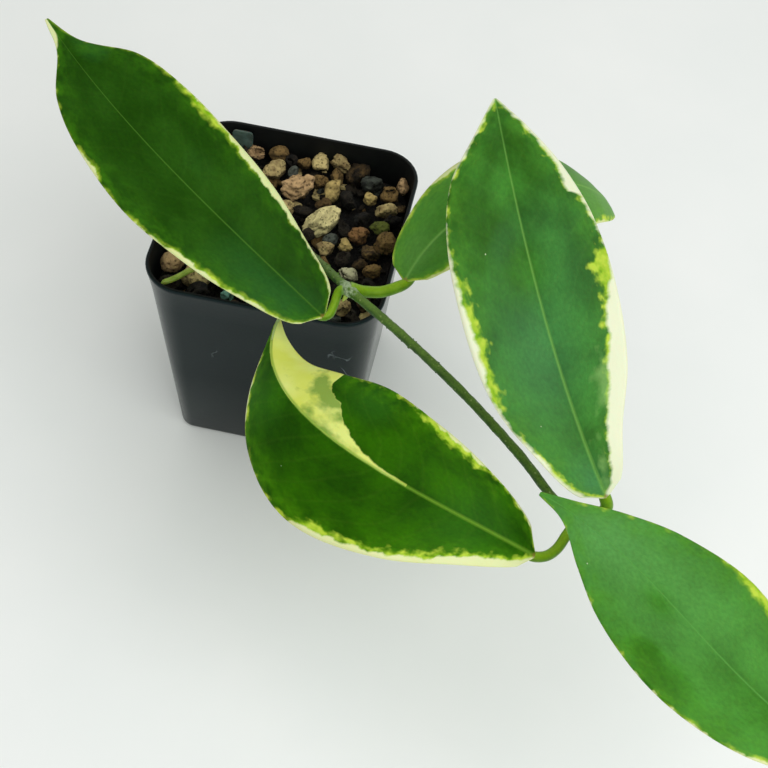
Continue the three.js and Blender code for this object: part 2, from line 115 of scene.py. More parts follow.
# Each midrib is a cubic curve from base to tip. The upper face looks along `up` at the base and
# at the tip, and a fold is the slope of a half blade, in degrees, at the base, middle and tip.
# Half widths, folds and edges are given for the left half first, then for the right half.
# Cream and lime edges are points: how far along the midrib, and how wide from the margin in.
# A muted oval is its centre along and off the midrib, half its length and width, and its turn.
# A patch of painted sheen and shade is its centre along and off the midrib, its size, and how far
# the green goes to the painted sheen colour, or below zero to the deep colour as painted shade.
LEAVES = {
    "leaf_1_left": {
        "midrib": [
            (22.2, -43.5, 92),
            (-10.5, -31.8, 111.5),
            (-45.8, -16.8, 126.5),
            (-74.5, 9, 138),
        ],
        "up": [(0.05, -0.25, 1), (0.3, -0.2, 1)],
        "folds": [(8, 8, 8), (10, 10, 10)],
        "halves": [
            (2.5, 8.7, 13.2, 17.8, 20.7, 18.3, 13, 3.3, 0.5),
            (4, 8.9, 12.8, 17.7, 20.1, 19.8, 15.6, 4.7, 0.5),
        ],
        "petiole": [NODE_1, (25.4, -35.8, 96), (24.4, -39, 93), (23.6, -41.8, 91.6)],
        "petiole_radius": 1.35,
        "cream": [
            [(0, 0.6), (10, 0.6), (20, 0.7), (30, 0.8), (36, 1.3), (41, 1.8), (45, 0.5), (60, 0.1),
             (71, 0), (73, 1.2), (79, 0.8), (81, 0), (90, -0.3), (106, -0.2), (111, 0.9),
             (115, 1.8), (121, 1.8)],
            [(0, 0.7), (10, 0.9), (20, 1.2), (30, 1.6), (40, 2.3), (50, 2), (56, 1), (70, 0.5),
             (90, 0.5), (96, 0.1), (120, 0.1)],
        ],
        "lime": [
            [(0, 1.1), (20, 1.3), (25, 1.7), (34, 2.1), (42, 2.2), (46, 0.8), (70, 0.5), (74, 1.9),
             (82, 0.5), (92, 0), (120, 0)],
            [(0, 0.8), (20, 1), (35, 1.6), (44, 2.4), (52, 2.4), (57, 1.6), (63, 2.4), (68, 2.7),
             (74, 2), (80, 1.4), (88, 1), (93, 0.4), (120, 0.2)],
        ],
        "painted_sheen_and_shade": [(8, -5, 12, 0.3), (22, 8, 9, -0.6), (25, -5, 14, 0.25), (105, 6, 9, 0.45),
                  (60, 6, 10, 0.2), (85, -4, 30, -0.4)],
    },
    "leaf_1_right": {
        "midrib": [(43.5, -29, 98), (52, -1.5, 114.5), (91, 22.9, 112), (100.7, 27.4, 81.6)],
        "up": [(-0.6, -0.25, 1), (0.4, 0.4, 1)],
        "folds": [(5, -4, -3), (-6, -23, -20)],
        "halves": [
            (3.5, 8.5, 12.6, 18.2, 21.5, 17.5, 13.6, 5.5, 0.5),
            (3.5, 8, 12.5, 18, 20.4, 16.6, 11.7, 7.1, 0.5),
        ],
        "petiole": [NODE_1, (32.8, -33.9, 95.6), (37.2, -32.4, 95.1), (41, -30.8, 96.2)],
        "petiole_radius": 1.75,
        "cream": [
            [(0, 0.2), (10, 0.1), (20, 0.2), (27, 0.8), (34, 2), (44, 2.2), (60, 1.4), (72, 0.3),
             (96, 0)],
            [(0, 0.4), (8, 0.6), (12, 1.5), (17, 1.8), (24, 1.4), (32, 1), (50, 0.8), (70, 0.6),
             (78, 1.1), (84, 0.6), (96, 0.2)],
        ],
        "lime": [
            [(0, 0.9), (10, 0.8), (20, 1), (34, 2.8), (46, 2.8), (70, 0.7), (96, 0.3)],
            [(0, 1.2), (9, 1.8), (14, 3), (20, 2.6), (40, 1.8), (70, 1.4), (80, 2.2), (96, 0.8)],
        ],
        "painted_sheen_and_shade": [(8, -2, 10, 0.5), (82, 0, 20, 1)],
    },
    "leaf_2_right": {
        "midrib": [(111.4, -86.8, 94), (90.5, -70, 121.5), (74, -40.5, 142.5), (60.5, -9, 157)],
        "up": [(0.1, -0.6, 1), (0.1, -0.6, 1)],
        "folds": [(10, 10, 10), (10, 10, 10)],
        "halves": [
            (3.2, 8.6, 13.9, 20.5, 22.4, 21.4, 17, 7.9, 0.5),
            (3, 6.9, 11, 17.8, 20.6, 19.2, 14.2, 7.5, 0.5),
        ],
        "petiole": [NODE_2, (109.2, -89.6, 86.6), (112.2, -87.3, 89.5)],
        "petiole_radius": 1.8,
        "cream": [
            [(0, 0.8), (5, 1.6), (12, 1.1), (25, 0.9), (38, 0.7), (41, 1.5), (46, 2), (54, 2.4),
             (60, 1.9), (66, 1.3), (72, 1), (75, 0.4), (92, 0.2), (97, 0.7), (104, 0.6),
             (108, 0.7), (113, 0.9)],
            [(0, 2), (5, 3.5), (10, 4), (18, 4.8), (30, 5.4), (36, 5.7), (42, 4.8), (49, 4.7),
             (52, 3.4), (56, 1.9), (60, 0.9), (64, 0.2), (71, 0.2), (76, 0.8), (82, 0.9), (84, 3.2),
             (88, 2.8), (92, 1.6), (100, 1.1), (108, 0.9), (113, 0.6)],
        ],
        "lime": [
            [(0, 1.5), (5, 2.2), (12, 1.8), (20, 1.3), (33, 0.9), (36, 3), (42, 4.2), (45, 3.6),
             (50, 5), (54, 5), (60, 4), (66, 2.8), (70, 1.9), (76, 0.7), (92, 0.4), (104, 0.9),
             (108, 1.6), (113, 1.8)],
            [(0, 2.6), (5, 4), (18, 5.2), (30, 5.8), (38, 6.2), (48, 5.4), (53, 4), (56, 4.4),
             (60, 5.2), (63, 4.8), (65.5, 3), (67.5, 0.8), (70, 0.3), (74, 0.8), (83, 1.4),
             (84, 3.6), (92, 2.1), (113, 1)],
        ],
        "muted": [(30, 10.5, 9, 2.6, 12), (5, 2.2, 7, 1.6, 5)],
        "painted_sheen_and_shade": [(4, -3, 9, 0.7), (42, -4, 20, 0.5), (68, 4, 20, 0.3), (74, -8, 9, 0.4),
                  (86, -17, 15, -1), (98, -6, 12, 0.1), (92, 4, 9, -0.1), (66, -2.5, 9, -0.5)],
    },
    "leaf_2_left": {
        "midrib": [(95.5, -105, 86), (57.5, -103.5, 106), (8, -93.5, 107.5), (9, -43, 87)],
        "up": [(0, -0.2, 1), (-0.4, -0.5, 1)],
        "folds": [(0, -4, -25), (-3, -6, -62)],
        "halves": [
            (2.5, 6.6, 12.5, 20.9, 24.9, 19, 9.9, 2.3, 0.5),
            (3.5, 9.1, 14.5, 19, 20.6, 16, 11.3, 6.5, 0.5),
        ],
        "petiole": [NODE_2, (103.2, -95.3, 84.9), (101.2, -99.9, 84), (98.5, -103.1, 84.2)],
        "petiole_radius": 1.5,
        "cream": [
            [(0, 0.7), (3, 1.9), (8, 2.7), (16, 2.7), (22, 2.3), (28, 1.9), (35, 1.7), (42, 1.5),
             (50, 1.9), (57, 1.8), (60, 0.9), (61.5, 0.1), (84, 0.1), (90, 0.7), (102, 0.8),
             (110, 0.3), (125, 0.2)],
            [(0, 0.6), (15, 0.6), (24, 0.9), (32, 1.2), (40, 0.9), (46, 0.3), (52, 0), (125, 0)],
        ],
        "lime": [
            [(0, 1.4), (4, 3.2), (14, 3.8), (22, 3.6), (30, 3), (40, 2.6), (50, 2.8), (54, 4.4),
             (58, 3), (61.5, 0.4), (83, 0.3), (87, 1.2), (92, 1.8), (100, 1.4), (112, 0.6),
             (125, 0.3)],
            [(0, 1), (20, 1.2), (26, 2.4), (31, 2.6), (37, 3.6), (42, 2.6), (47, 1), (52, 0.1),
             (125, 0)],
        ],
        # The large lemon patch lies between the midrib and this line, and from 80 mm on it
        # takes the whole right half.
        "lemon_top": [(40, 0.5), (50, 0.9), (56, 2), (60, 3.4), (64, 5.2), (67, 6.8), (70, 8.6),
                      (75, 9.8), (78, 10.8), (79.5, 13), (80, 17), (80.6, 40), (125, 40)],
        "muted": [(77, 8.3, 12.5, 3.6, 12), (68, 0.5, 9.5, 1.1, 5), (74.5, 1.4, 2.5, 1, 15)],
        "painted_sheen_and_shade": [(20, 3, 10, 0.35), (22, -5, 9, 0.35), (60, -4, 14, -0.35), (42, 10, 9, -0.4),
                  (62, 15, 9, 0.7), (90, -7, 9, 0.5)],
    },
    "leaf_3": {
        "midrib": [
            (180.8, -144.8, 86),
            (146.7, -138.4, 96),
            (126.3, -106.9, 101.5),
            (93.4, -96.1, 103),
        ],
        "up": [(0, -0.2, 1), (0, -0.2, 1)],
        "folds": [(8, 8, 8), (8, 8, 8)],
        "halves": [
            (1.5, 7, 13.5, 18.4, 20.6, 17.7, 11.1, 3.5, 0.5),
            (1.5, 6, 13, 17.7, 19.4, 15, 8.7, 3.4, 0.5),
        ],
        "petiole": [NODE_3, (178, -151, 79), (181.5, -148, 82)],
        "petiole_radius": 1.5,
        "cream": [
            [(0, 0.6), (14, 0.5), (26, 0.3), (40, 0.2), (44, 0), (103, -0.2)],
            [(0, 0.8), (16, 1.2), (30, 1.3), (38, 0.9), (45, 0.4), (50, 0), (103, -0.2)],
        ],
        "lime": [
            [(0, 1.2), (26, 0.7), (32, 0.8), (42, 0.4), (46, 0), (103, -0.2)],
            [(0, 2), (16, 3.2), (38, 3.2), (43, 2.9), (48, 2.3), (52, 1.8), (58, 0.7), (66, 0.1),
             (84, 0.1), (86, 0.8), (90, 0.3), (103, -0.2)],
        ],
        "painted_sheen_and_shade": [(85, 0, 16, 0.7), (58, 2, 26, 0.55), (44, -18, 6, -1.8), (52, -16, 4, -1.4),
                  (60, -2.5, 5, -0.5)],
    },
}

# The large stones: x, y, length, width, turn in degrees, and the rock that each is.
LARGE_STONES = [
    (10, 7.5, 14, 9, 54, "wedge"),
    (-1.5, 19.5, 11.5, 9.5, 10, "rose_tuff"),
    (10.5, 34, 7, 5.5, -20, "pumice"),
    (4, 32.5, 5, 6.5, 0, "pumice"),
    (-10, 33, 6.5, 5.5, 0, "lava"),
    (-18, 32, 7, 4.5, 0, "rose_tuff"),
    (-10, 25.5, 9, 6, 60, "pumice"),
    (10.5, 21.5, 5.5, 9, 0, "ochre"),
    (22.5, 28, 7.5, 6, 20, "slate"),
    (29, 24, 7, 5.5, -30, "lava"),
    (32, 29.5, 4.5, 6, 0, "rose_tuff"),
    (29, 17.5, 6.5, 5.5, 15, "pumice"),
    (23, 21.5, 4.5, 4.5, 0, "ochre"),
    (23, 5, 7, 6, 0, "russet"),
    (28.5, 10, 6.5, 4.5, 10, "mossy"),
    (19.5, 0, 4.5, 4.5, 0, "ochre"),
    (13.5, -3, 6, 4.5, 30, "pumice"),
    (23.5, -11, 6, 5, 0, "ash"),
    (30, -8, 5.5, 5, 0, "lava"),
    (28, -1.5, 5, 6, 20, "lava"),
    (-31, -20, 8, 6.5, 70, "rose_tuff"),
    (-11, -28.5, 5, 4.5, 0, "copper_green"),
    (16, -28, 7, 6, 0, "lava"),
    (24, -25, 6, 5, 40, "pumice"),
    (-22, 2, 9, 7, 15, "pumice"),
    (-14, -12, 8, 7, 50, "lava"),
    (-28, 16, 8, 6, -40, "slate"),
]
SMALL_ROCKS = ["lava", "bark", "slate", "bark", "umber", "bark", "lava", "bark", "pumice", "bark"]
STONE_SWELL = 1.12  # the large CAD stones stand out this much past their stated size

CAMERA = {
    "place": (84.6, -347.6, 480.6),
    "yaw": 8,
    "tilt": 36.5,
    "roll": 5,
    "focal_px": 1700,
    "photo_px": 768,
    "sensor": 36,
}


# Working with Blender


def clear_selection():
    bpy.ops.object.select_all(action="DESELECT")


def pick(piece):
    clear_selection()
    piece.select_set(True)
    bpy.context.view_layer.objects.active = piece


def new_piece(name):
    piece = bpy.context.object
    piece.name = name
    return piece


def apply_modifier(piece, kind, **settings):
    pick(piece)
    modifier = piece.modifiers.new(kind.lower(), kind)
    for key, value in settings.items():
        setattr(modifier, key, value)
    bpy.ops.object.modifier_apply(modifier=modifier.name)


def place_in_mesh(piece, matrix):
    """Moves the mesh, so that the object itself stays at the origin, unturned and unscaled."""
    piece.data.transform(matrix)
    piece.matrix_basis = Matrix.Identity(4)


def copy_of(model, name):
    """A copy of a piece with a mesh of its own."""
    made = model.copy()
    made.data = model.data.copy()
    made.name = name
    bpy.context.collection.objects.link(made)
    return made


def coat(piece, *skins):
    """Gives a piece its materials."""
    piece.data.materials.clear()
    for skin in skins:
        piece.data.materials.append(skin)


def close_up():
    """In edit mode: fills the selected open ring, turns every face outwards and goes back to
    object mode."""
    bpy.ops.mesh.edge_face_add()
    bpy.ops.mesh.select_all(action="SELECT")
    bpy.ops.mesh.normals_make_consistent(inside=False)
    bpy.ops.object.mode_set(mode="OBJECT")


def join(pieces, name):
    pick(pieces[0])
    for piece in pieces[1:]:
        piece.select_set(True)
    bpy.ops.object.join()
    return new_piece(name)


def store(piece, name, values):
    """Keeps one value or one vector for each point of the mesh, for its material."""
    kind, field = ("FLOAT", "value") if values.ndim == 1 else ("FLOAT_VECTOR", "vector")
    attribute = piece.data.attributes.new(name, kind, "POINT")
    attribute.data.foreach_set(field, values.astype(np.float32).ravel())


def points_of(piece):
    places = np.empty(len(piece.data.vertices) * 3, np.float32)
    piece.data.vertices.foreach_get("co", places)
    return places.reshape(-1, 3)


def set_points(piece, places):
    piece.data.vertices.foreach_set("co", places.astype(np.float32).ravel())
    piece.data.update()


def smooth(piece, angle=None):
    """Smooth shading, all over or only where two faces meet at less than an angle in degrees."""
    pick(piece)
    if angle is None:
        bpy.ops.object.shade_smooth()
    else:
        bpy.ops.object.shade_smooth_by_angle(angle=math.radians(angle))


def stands_for(piece, node):
    """Hands a finished piece over in place of its CAD node."""
    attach(piece, "root")
    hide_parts(node)


def seeded(seed):
    """Random numbers that come out the same on every run, and the same as in the CAD source."""
    state = seed
    while True:
        state = (state * 1664525 + 1013904223) % 2**32
        yield state / 2**32


def lerp(a, b, t):
    return a + (b - a) * t


# Materials


def colour(code):
    """An sRGB hex colour as the linear values that a shader takes."""
    parts = [int(code[i : i + 2], 16) / 255 for i in (1, 3, 5)]
    return (*(c / 12.92 if c <= 0.04045 else ((c + 0.055) / 1.055) ** 2.4 for c in parts), 1)


def material(name, values):
    made = bpy.data.materials.new(name)
    made.use_nodes = True
    shader = made.node_tree.nodes["Principled BSDF"]
    for socket, value in values.items():
        shader.inputs[socket].default_value = value
    return made, made.node_tree, shader


def add(tree, kind, links, **settings):
    """Adds a node. A link is a socket's plain value, or the node or socket that feeds it."""
    made = tree.nodes.new("ShaderNode" + kind)
    for key, value in settings.items():
        setattr(made, key, value)
    for socket, source in links.items():
        if isinstance(source, bpy.types.Node):
            source = source.outputs[0]
        if isinstance(source, bpy.types.NodeSocket):
            tree.links.new(source, made.inputs[socket])
        else:
            made.inputs[socket].default_value = source
    return made


def per_mm(size):
    """The scale of a pattern on Object coordinates whose features are this many mm apart."""
    return 1 / (size * MM)


def between(tree, measure, low, high, dark, light):
    """Passes from a dark colour to a light one as a measure goes from low to high."""
    share = add(tree, "MapRange", {0: measure, 1: low, 2: high})
    return add(tree, "MixRGB", {0: share, 1: colour(dark), 2: colour(light)})


def clouded(tree, place, size, detail, dark, light, low=0.3, high=0.7):
    """Soft clouds this many mm across that pass from a dark colour to a light one."""
    clouds = add(tree, "TexNoise", {"Vector": place, "Scale": per_mm(size), "Detail": detail})
    return between(tree, clouds, low, high, dark, light)


def over(tree, skin, measure, start, end, strength, paint):
    """Lays a colour over a skin: none of it where a measure is at its start, and this share of it
    where it is at its end."""
    share = add(tree, "MapRange", {0: measure, 1: start, 2: end, 3: 0, 4: strength})
    return add(tree, "MixRGB", {0: share, 1: skin, 2: colour(paint)})


def shaded(tree, skin, measure, start, end, first, last):
    """Makes a skin this many times as bright, first at a measure's start and last at its end."""
    times = add(tree, "MapRange", {0: measure, 1: start, 2: end, 3: first, 4: last})
    return add(tree, "MixRGB", {0: 1, 1: skin, 2: times}, blend_type="MULTIPLY")


def upward(tree):
    """How far up a face looks: 1 where it lies level, 0 where it stands upright."""
    facing = add(tree, "TexCoord", {}).outputs["Normal"]
    return add(tree, "SeparateXYZ", {0: facing}).outputs[2]


def finished(made, shader, skin, bump=None, gloss=None):
    """Links a finish's colour, relief and roughness to its shader."""
    for source, socket in ((skin, "Base Color"), (bump, "Normal"), (gloss, "Roughness")):
        if source is not None:
            made.node_tree.links.new(source.outputs[0], shader.inputs[socket])
    return made


def leaf_skin(
    name,
    deep,
    fresh,
    painted_sheen_and_shade,
    rib,
    sun,
    ivory="#d4da98",
    muted="#7b9a40",
    veiled=0.85,
    rib_width=0.4,
    rough=0.46,
    sheen=0.16,
    soft=0.28,
    fray=1.1,
    patched=False,
):
    """Waxy hoya leaf. The eye sees a deep green with a soft gloss, a thin pale midrib, faint side
    veins, a cream edge that breaks up raggedly into chartreuse, and a few white specks, under
    patches of painted sheen and painted shade."""
    made, tree, shader = material(
        name,
        {
            "IOR": 1.42,
            "Specular IOR Level": sheen,
            "Subsurface Weight": 0.1,
            "Subsurface Scale": 0.0015,
        },
    )
    blade, marks, tones = (
        add(tree, "Attribute", {}, attribute_name=kept).outputs["Vector"]
        for kept in ("blade_mm", "marking_mm", "tone")
    )
    along, beside, inside = add(tree, "SeparateXYZ", {0: blade}).outputs
    cream_at, lime_at, lemon_at = add(tree, "SeparateXYZ", {0: marks}).outputs
    glow, muted_at, ragged = add(tree, "SeparateXYZ", {0: tones}).outputs
    off_rib = add(tree, "Math", {0: beside}, operation="ABSOLUTE")

    # Tissue: cloudy greens 14 mm across, with a fine mottle of 1.2 mm.
    cloud = add(tree, "TexNoise", {"Vector": blade, "Scale": 1 / 14, "Detail": 3})
    mottle = add(tree, "TexNoise", {"Vector": blade, "Scale": 1 / 1.2, "Detail": 4})
    green = between(tree, cloud, 0.35, 0.65, deep, fresh)
    # Painted sheen in bluish patches, and painted shade where the amount is below zero.
    green = over(tree, green, glow, 0, 1, 0.85, painted_sheen_and_shade)
    green = over(tree, green, glow, 0, -1, 0.8, deep)
    # A few millimetres in from the margin the green turns blotchy and sunnier.
    blotch = add(tree, "TexNoise", {"Vector": blade, "Scale": 1 / 5, "Detail": 3})
    blotchy = add(tree, "MapRange", {0: blotch, 1: 0.4, 2: 0.65})
    fringe = add(tree, "MapRange", {0: inside, 1: 8, 2: 1, 3: 0, 4: 0.5})
    sunny = add(tree, "Math", {0: blotchy, 1: fringe}, operation="MULTIPLY")
    green = add(tree, "MixRGB", {0: sunny, 1: green, 2: colour(sun)})
    green = shaded(tree, green, mottle, 0.3, 0.7, 0.88, 1.12)

    # Side veins leave the midrib at about 50 degrees and bend towards the tip. They only just
    # show.
    bend = add(tree, "Math", {0: off_rib, 1: off_rib}, operation="MULTIPLY")
    bend = add(tree, "Math", {0: bend, 1: -0.016}, operation="MULTIPLY")
    lean = add(tree, "Math", {0: off_rib, 1: -0.7, 2: bend}, operation="MULTIPLY_ADD")
    drift = add(tree, "TexNoise", {"Vector": blade, "Scale": 1 / 30, "Detail": 1})
    wander = add(tree, "MapRange", {0: drift, 3: -7, 4: 7})
    vein_at = add(tree, "Math", {0: along, 1: lean}, operation="ADD")
    vein_at = add(tree, "Math", {0: vein_at, 1: wander}, operation="ADD")
    vein_off = add(tree, "Math", {0: vein_at, 1: VEIN_GAP / 2}, operation="PINGPONG")
    green = over(tree, green, vein_off, 0.9, 0, 0.035, rib)

    # Variegation: each zone's edge is torn into fingers about 3 mm apart that point inwards, and
    # the chartreuse fades into the green. The tear is less along the midrib. A dull green veil
    # lies over parts of the pale zones.
    across = add(tree, "Math", {0: inside, 1: 0.45}, operation="MULTIPLY")
    torn = add(tree, "CombineXYZ", {0: along, 1: across, 2: beside})
    torn = add(tree, "VectorMath", {0: torn, 1: (1, 1, 0.12)}, operation="MULTIPLY")
    tear = add(tree, "TexNoise", {"Vector": torn, "Scale": 1 / 3, "Detail": 3, "Roughness": 0.5})
    rag = add(tree, "MapRange", {0: tear, 1: 0.3, 2: 0.7, 3: -0.6, 4: 0.6})
    rag = add(tree, "Math", {0: rag, 1: ragged}, operation="MULTIPLY")
    shred = add(tree, "TexNoise", {"Vector": blade, "Scale": 1 / 3.2, "Detail": 2})
    frayed = add(tree, "MapRange", {0: shred, 1: 0.3, 2: 0.7, 3: -fray, 4: fray})
    frayed = add(tree, "Math", {0: rag, 1: frayed}, operation="ADD")
    lime_edge = add(tree, "Math", {0: lime_at, 1: frayed}, operation="ADD")
    lime = add(tree, "MapRange", {0: lime_edge, 1: -0.8, 2: 0.9})
    lime = add(tree, "Math", {0: lime, 1: 1.3}, operation="POWER")
    tint = between(tree, shred, 0.35, 0.65, "#78a80c", "#b4cc40")
    skin = add(tree, "MixRGB", {0: lime, 1: green, 2: tint})
    lemon_edge = add(tree, "Math", {0: lemon_at, 1: rag}, operation="ADD")
    lemon = add(tree, "MapRange", {0: lemon_edge, 1: -0.2, 2: 0.25})
    pale = between(tree, cloud, 0.35, 0.65, "#d0d85e", "#dce484")
    skin = add(tree, "MixRGB", {0: lemon, 1: skin, 2: pale})
    cloudy = add(tree, "MapRange", {0: blotch, 1: 0.3, 2: 0.7, 3: -1.5, 4: 1.5})
    muted_edge = add(tree, "Math", {0: muted_at, 1: cloudy}, operation="ADD")
    veil = add(tree, "MapRange", {0: muted_edge, 1: -0.8, 2: 1.6, 3: 0, 4: veiled})
    if patched:
        veil = add(tree, "Math", {0: veil, 1: lemon}, operation="MULTIPLY")
    skin = add(tree, "MixRGB", {0: veil, 1: skin, 2: colour(muted)})
    cream_edge = add(tree, "Math", {0: cream_at, 1: rag}, operation="ADD")
    cream = add(tree, "MapRange", {0: cream_edge, 1: -soft, 2: soft})
    edging = over(tree, colour(ivory), cloud, 0.35, 0.65, 0.3, "#e4e7ca")
    skin = add(tree, "MixRGB", {0: cream, 1: skin, 2: edging})

    # Midrib, the brown scar where the blade joins its petiole, and white specks of half a
    # millimetre.
    width = add(tree, "MapRange", {0: along, 1: 0, 2: 110, 3: rib_width, 4: rib_width / 2})
    near = add(tree, "Math", {0: off_rib, 1: width}, operation="DIVIDE")
    skin = over(tree, skin, near, 1.6, 0.3, 0.65, rib)
    foot = add(tree, "Math", {0: along, 1: off_rib}, operation="ADD")
    skin = over(tree, skin, foot, 1.7, 0.8, 0.55, "#986c34")
    cells = add(tree, "TexVoronoi", {"Vector": blade, "Scale": 1 / 9})
    dots = add(tree, "MapRange", {0: cells, 1: 0.032, 2: 0.016, 3: 0, 4: 0.8})
    lot = add(tree, "SeparateColor", {0: cells.outputs["Color"]})
    few = add(tree, "Math", {0: lot, 1: 0.78}, operation="GREATER_THAN")
    dots = add(tree, "Math", {0: dots, 1: few}, operation="MULTIPLY")
    skin = add(tree, "MixRGB", {0: dots, 1: skin, 2: colour("#c9d8b4")})

    gloss = add(tree, "MapRange", {0: mottle, 1: 0.2, 2: 0.8, 3: rough - 0.06, 4: rough + 0.1})
    sunk = add(tree, "MapRange", {0: vein_off, 1: 1.2, 2: 0, 3: 0.25, 4: 0})
    relief = add(tree, "Math", {0: mottle, 1: 0.5, 2: sunk}, operation="MULTIPLY_ADD")
    bump = add(tree, "Bump", {"Strength": 0.5, "Distance": 0.00012, "Height": relief})
    return finished(made, shader, skin, bump, gloss)


def petiole_skin():
    """Fleshy hoya petiole. The eye sees a juicy green with a soft wet gloss, yellower on top as
    painted light, with a pale downy rim, and whitish where it leaves the node."""
    made, tree, shader = material(
        "fleshy_green_petiole",
        {
            "Roughness": 0.33,
            "IOR": 1.42,
            "Specular IOR Level": 0.4,
            "Specular Tint": colour("#e6f4b8"),
            "Subsurface Weight": 0.2,
            "Subsurface Scale": 0.0015,
            "Sheen Weight": 0.1,
            "Sheen Roughness": 0.35,
            "Sheen Tint": colour("#dcecb0"),
        },
    )
    place = add(tree, "TexCoord", {}).outputs["Object"]
    skin = clouded(tree, place, 4, 3, "#446f00", "#608c08")
    # Painted light: the upper side is yellower, as if lit from above.
    skin = over(tree, skin, upward(tree), 0.35, 0.95, 0.75, "#8cb320")
    run = add(tree, "Attribute", {}, attribute_name="from_node_mm").outputs["Fac"]
    skin = over(tree, skin, run, 2.6, 1.4, 0.8, "#a3b98c")
    fine = add(tree, "TexNoise", {"Vector": place, "Scale": per_mm(0.7), "Detail": 3})
    skin = shaded(tree, skin, fine, 0.3, 0.7, 0.92, 1.08)
    bump = add(tree, "Bump", {"Strength": 0.3, "Distance": 0.0001, "Height": fine})
    return finished(made, shader, skin, bump)


def stem_skin():
    """Young hoya stem. The eye sees a dull olive green with small pale raised specks, whitish
    at the nodes and turning grey-brown and rougher towards the mix. Its upper side is painted
    lighter, as painted light."""
    made, tree, shader = material(
        "olive_vine_stem", {"Roughness": 0.42, "IOR": 1.45, "Specular IOR Level": 0.35}
    )
    place = add(tree, "TexCoord", {}).outputs["Object"]
    measured = add(tree, "Attribute", {}, attribute_name="stem_mm").outputs["Vector"]
    run, to_node = add(tree, "SeparateXYZ", {0: measured}).outputs[:2]
    skin = clouded(tree, place, 3, 4, "#1c4000", "#3d6210")
    # Painted light: the upper side is lighter, as if lit from above.
    skin = over(tree, skin, upward(tree), 0.4, 1, 0.35, "#7d9c3c")
    skin = over(tree, skin, run, 66, 42, 0.9, "#6d6b4c")
    scurf = add(tree, "TexNoise", {"Vector": place, "Scale": per_mm(1.1), "Detail": 4})
    rough_edge = add(tree, "Math", {0: scurf, 1: -7, 2: to_node}, operation="MULTIPLY_ADD")
    skin = over(tree, skin, rough_edge, 0.2, -1.6, 0.75, "#a9ba96")
    spots = add(tree, "TexVoronoi", {"Vector": place, "Scale": per_mm(1.5)})
    specks = add(tree, "MapRange", {0: spots, 1: 0.26, 2: 0.1, 3: 0, 4: 0.6})
    skin = add(tree, "MixRGB", {0: specks, 1: skin, 2: colour("#8ea05a")})
    fine = add(tree, "TexNoise", {"Vector": place, "Scale": per_mm(0.5), "Detail": 4})
    skin = shaded(tree, skin, fine, 0.3, 0.7, 0.8, 1.2)
    rough = add(tree, "Math", {0: specks, 1: 1, 2: fine}, operation="MULTIPLY_ADD")
    bump = add(tree, "Bump", {"Strength": 0.8, "Distance": 0.0002, "Height": rough})
    return finished(made, shader, skin, bump)


def shoot_skin():
    """Soft new shoot. The eye sees a smooth, pale yellow-green stalk."""
    made, tree, shader = material(
        "soft_new_shoot",
        {"Roughness": 0.45, "IOR": 1.42, "Subsurface Weight": 0.2, "Subsurface Scale": 0.0015},
    )
    place = add(tree, "TexCoord", {}).outputs["Object"]
    skin = clouded(tree, place, 3, 3, "#7c9a30", "#abc052")
    fine = add(tree, "TexNoise", {"Vector": place, "Scale": per_mm(0.6), "Detail": 3})
    bump = add(tree, "Bump", {"Strength": 0.4, "Distance": 0.0001, "Height": fine})
    return finished(made, shader, skin, bump)


def rock(name, light, dark, pit, rough=0.9):
    """Crushed rock from a potting mix. The eye sees a dull, dusty face with small pits, and a
    lighter or darker tone from one stone to the next. Its tops are painted lighter, and its sides
    and pits darker, as painted light and shade."""
    dull = {"Roughness": rough, "IOR": 1.5, "Specular IOR Level": 0.3}
    made, tree, shader = material(name, dull)
    place = add(tree, "TexCoord", {}).outputs["Object"]
    tone = add(tree, "Attribute", {}, attribute_name="stone_tone").outputs["Fac"]
    clouds = add(tree, "TexNoise", {"Vector": place, "Scale": per_mm(2.2), "Detail": 5})
    mixed = add(tree, "Math", {0: tone, 1: 0.45, 2: clouds}, operation="MULTIPLY_ADD")
    skin = between(tree, mixed, 0.35, 0.75, dark, light)
    # Painted light and shade: the tops are lighter and the sides darker.
    skin = shaded(tree, skin, upward(tree), -0.1, 0.85, 0.3, 1.12)
    pits = add(tree, "TexVoronoi", {"Vector": place, "Scale": per_mm(pit)})
    holes = add(tree, "MapRange", {0: pits, 1: 0.35, 2: 0.12})
    # Painted shade: the colour darkens in the pits.
    skin = shaded(tree, skin, holes, 0, 1, 1, 0.55)
    grit = add(tree, "TexNoise", {"Vector": place, "Scale": per_mm(0.5), "Detail": 5})
    relief = add(tree, "Math", {0: holes, 1: -1.2, 2: grit}, operation="MULTIPLY_ADD")
    bump = add(tree, "Bump", {"Strength": 1, "Distance": 0.0004, "Height": relief})
    return finished(made, shader, skin, bump)


def damp_fines():
    """Damp bark crumbs and dust between the stones. The eye sees near-black brown with a few
    reddish flecks."""
    made, tree, shader = material("damp_bark_fines", {"Roughness": 0.85, "IOR": 1.4})
    place = add(tree, "TexCoord", {}).outputs["Object"]
    cells = add(tree, "TexVoronoi", {"Vector": place, "Scale": per_mm(1.3)})
    lot = add(tree, "SeparateColor", {0: cells.outputs["Color"]})
    skin = between(tree, lot, 0.6, 1, "#0b0907", "#1f1812")
    bump = add(tree, "Bump", {"Strength": 1, "Distance": 0.0006, "Height": cells})
    return finished(made, shader, skin, bump)


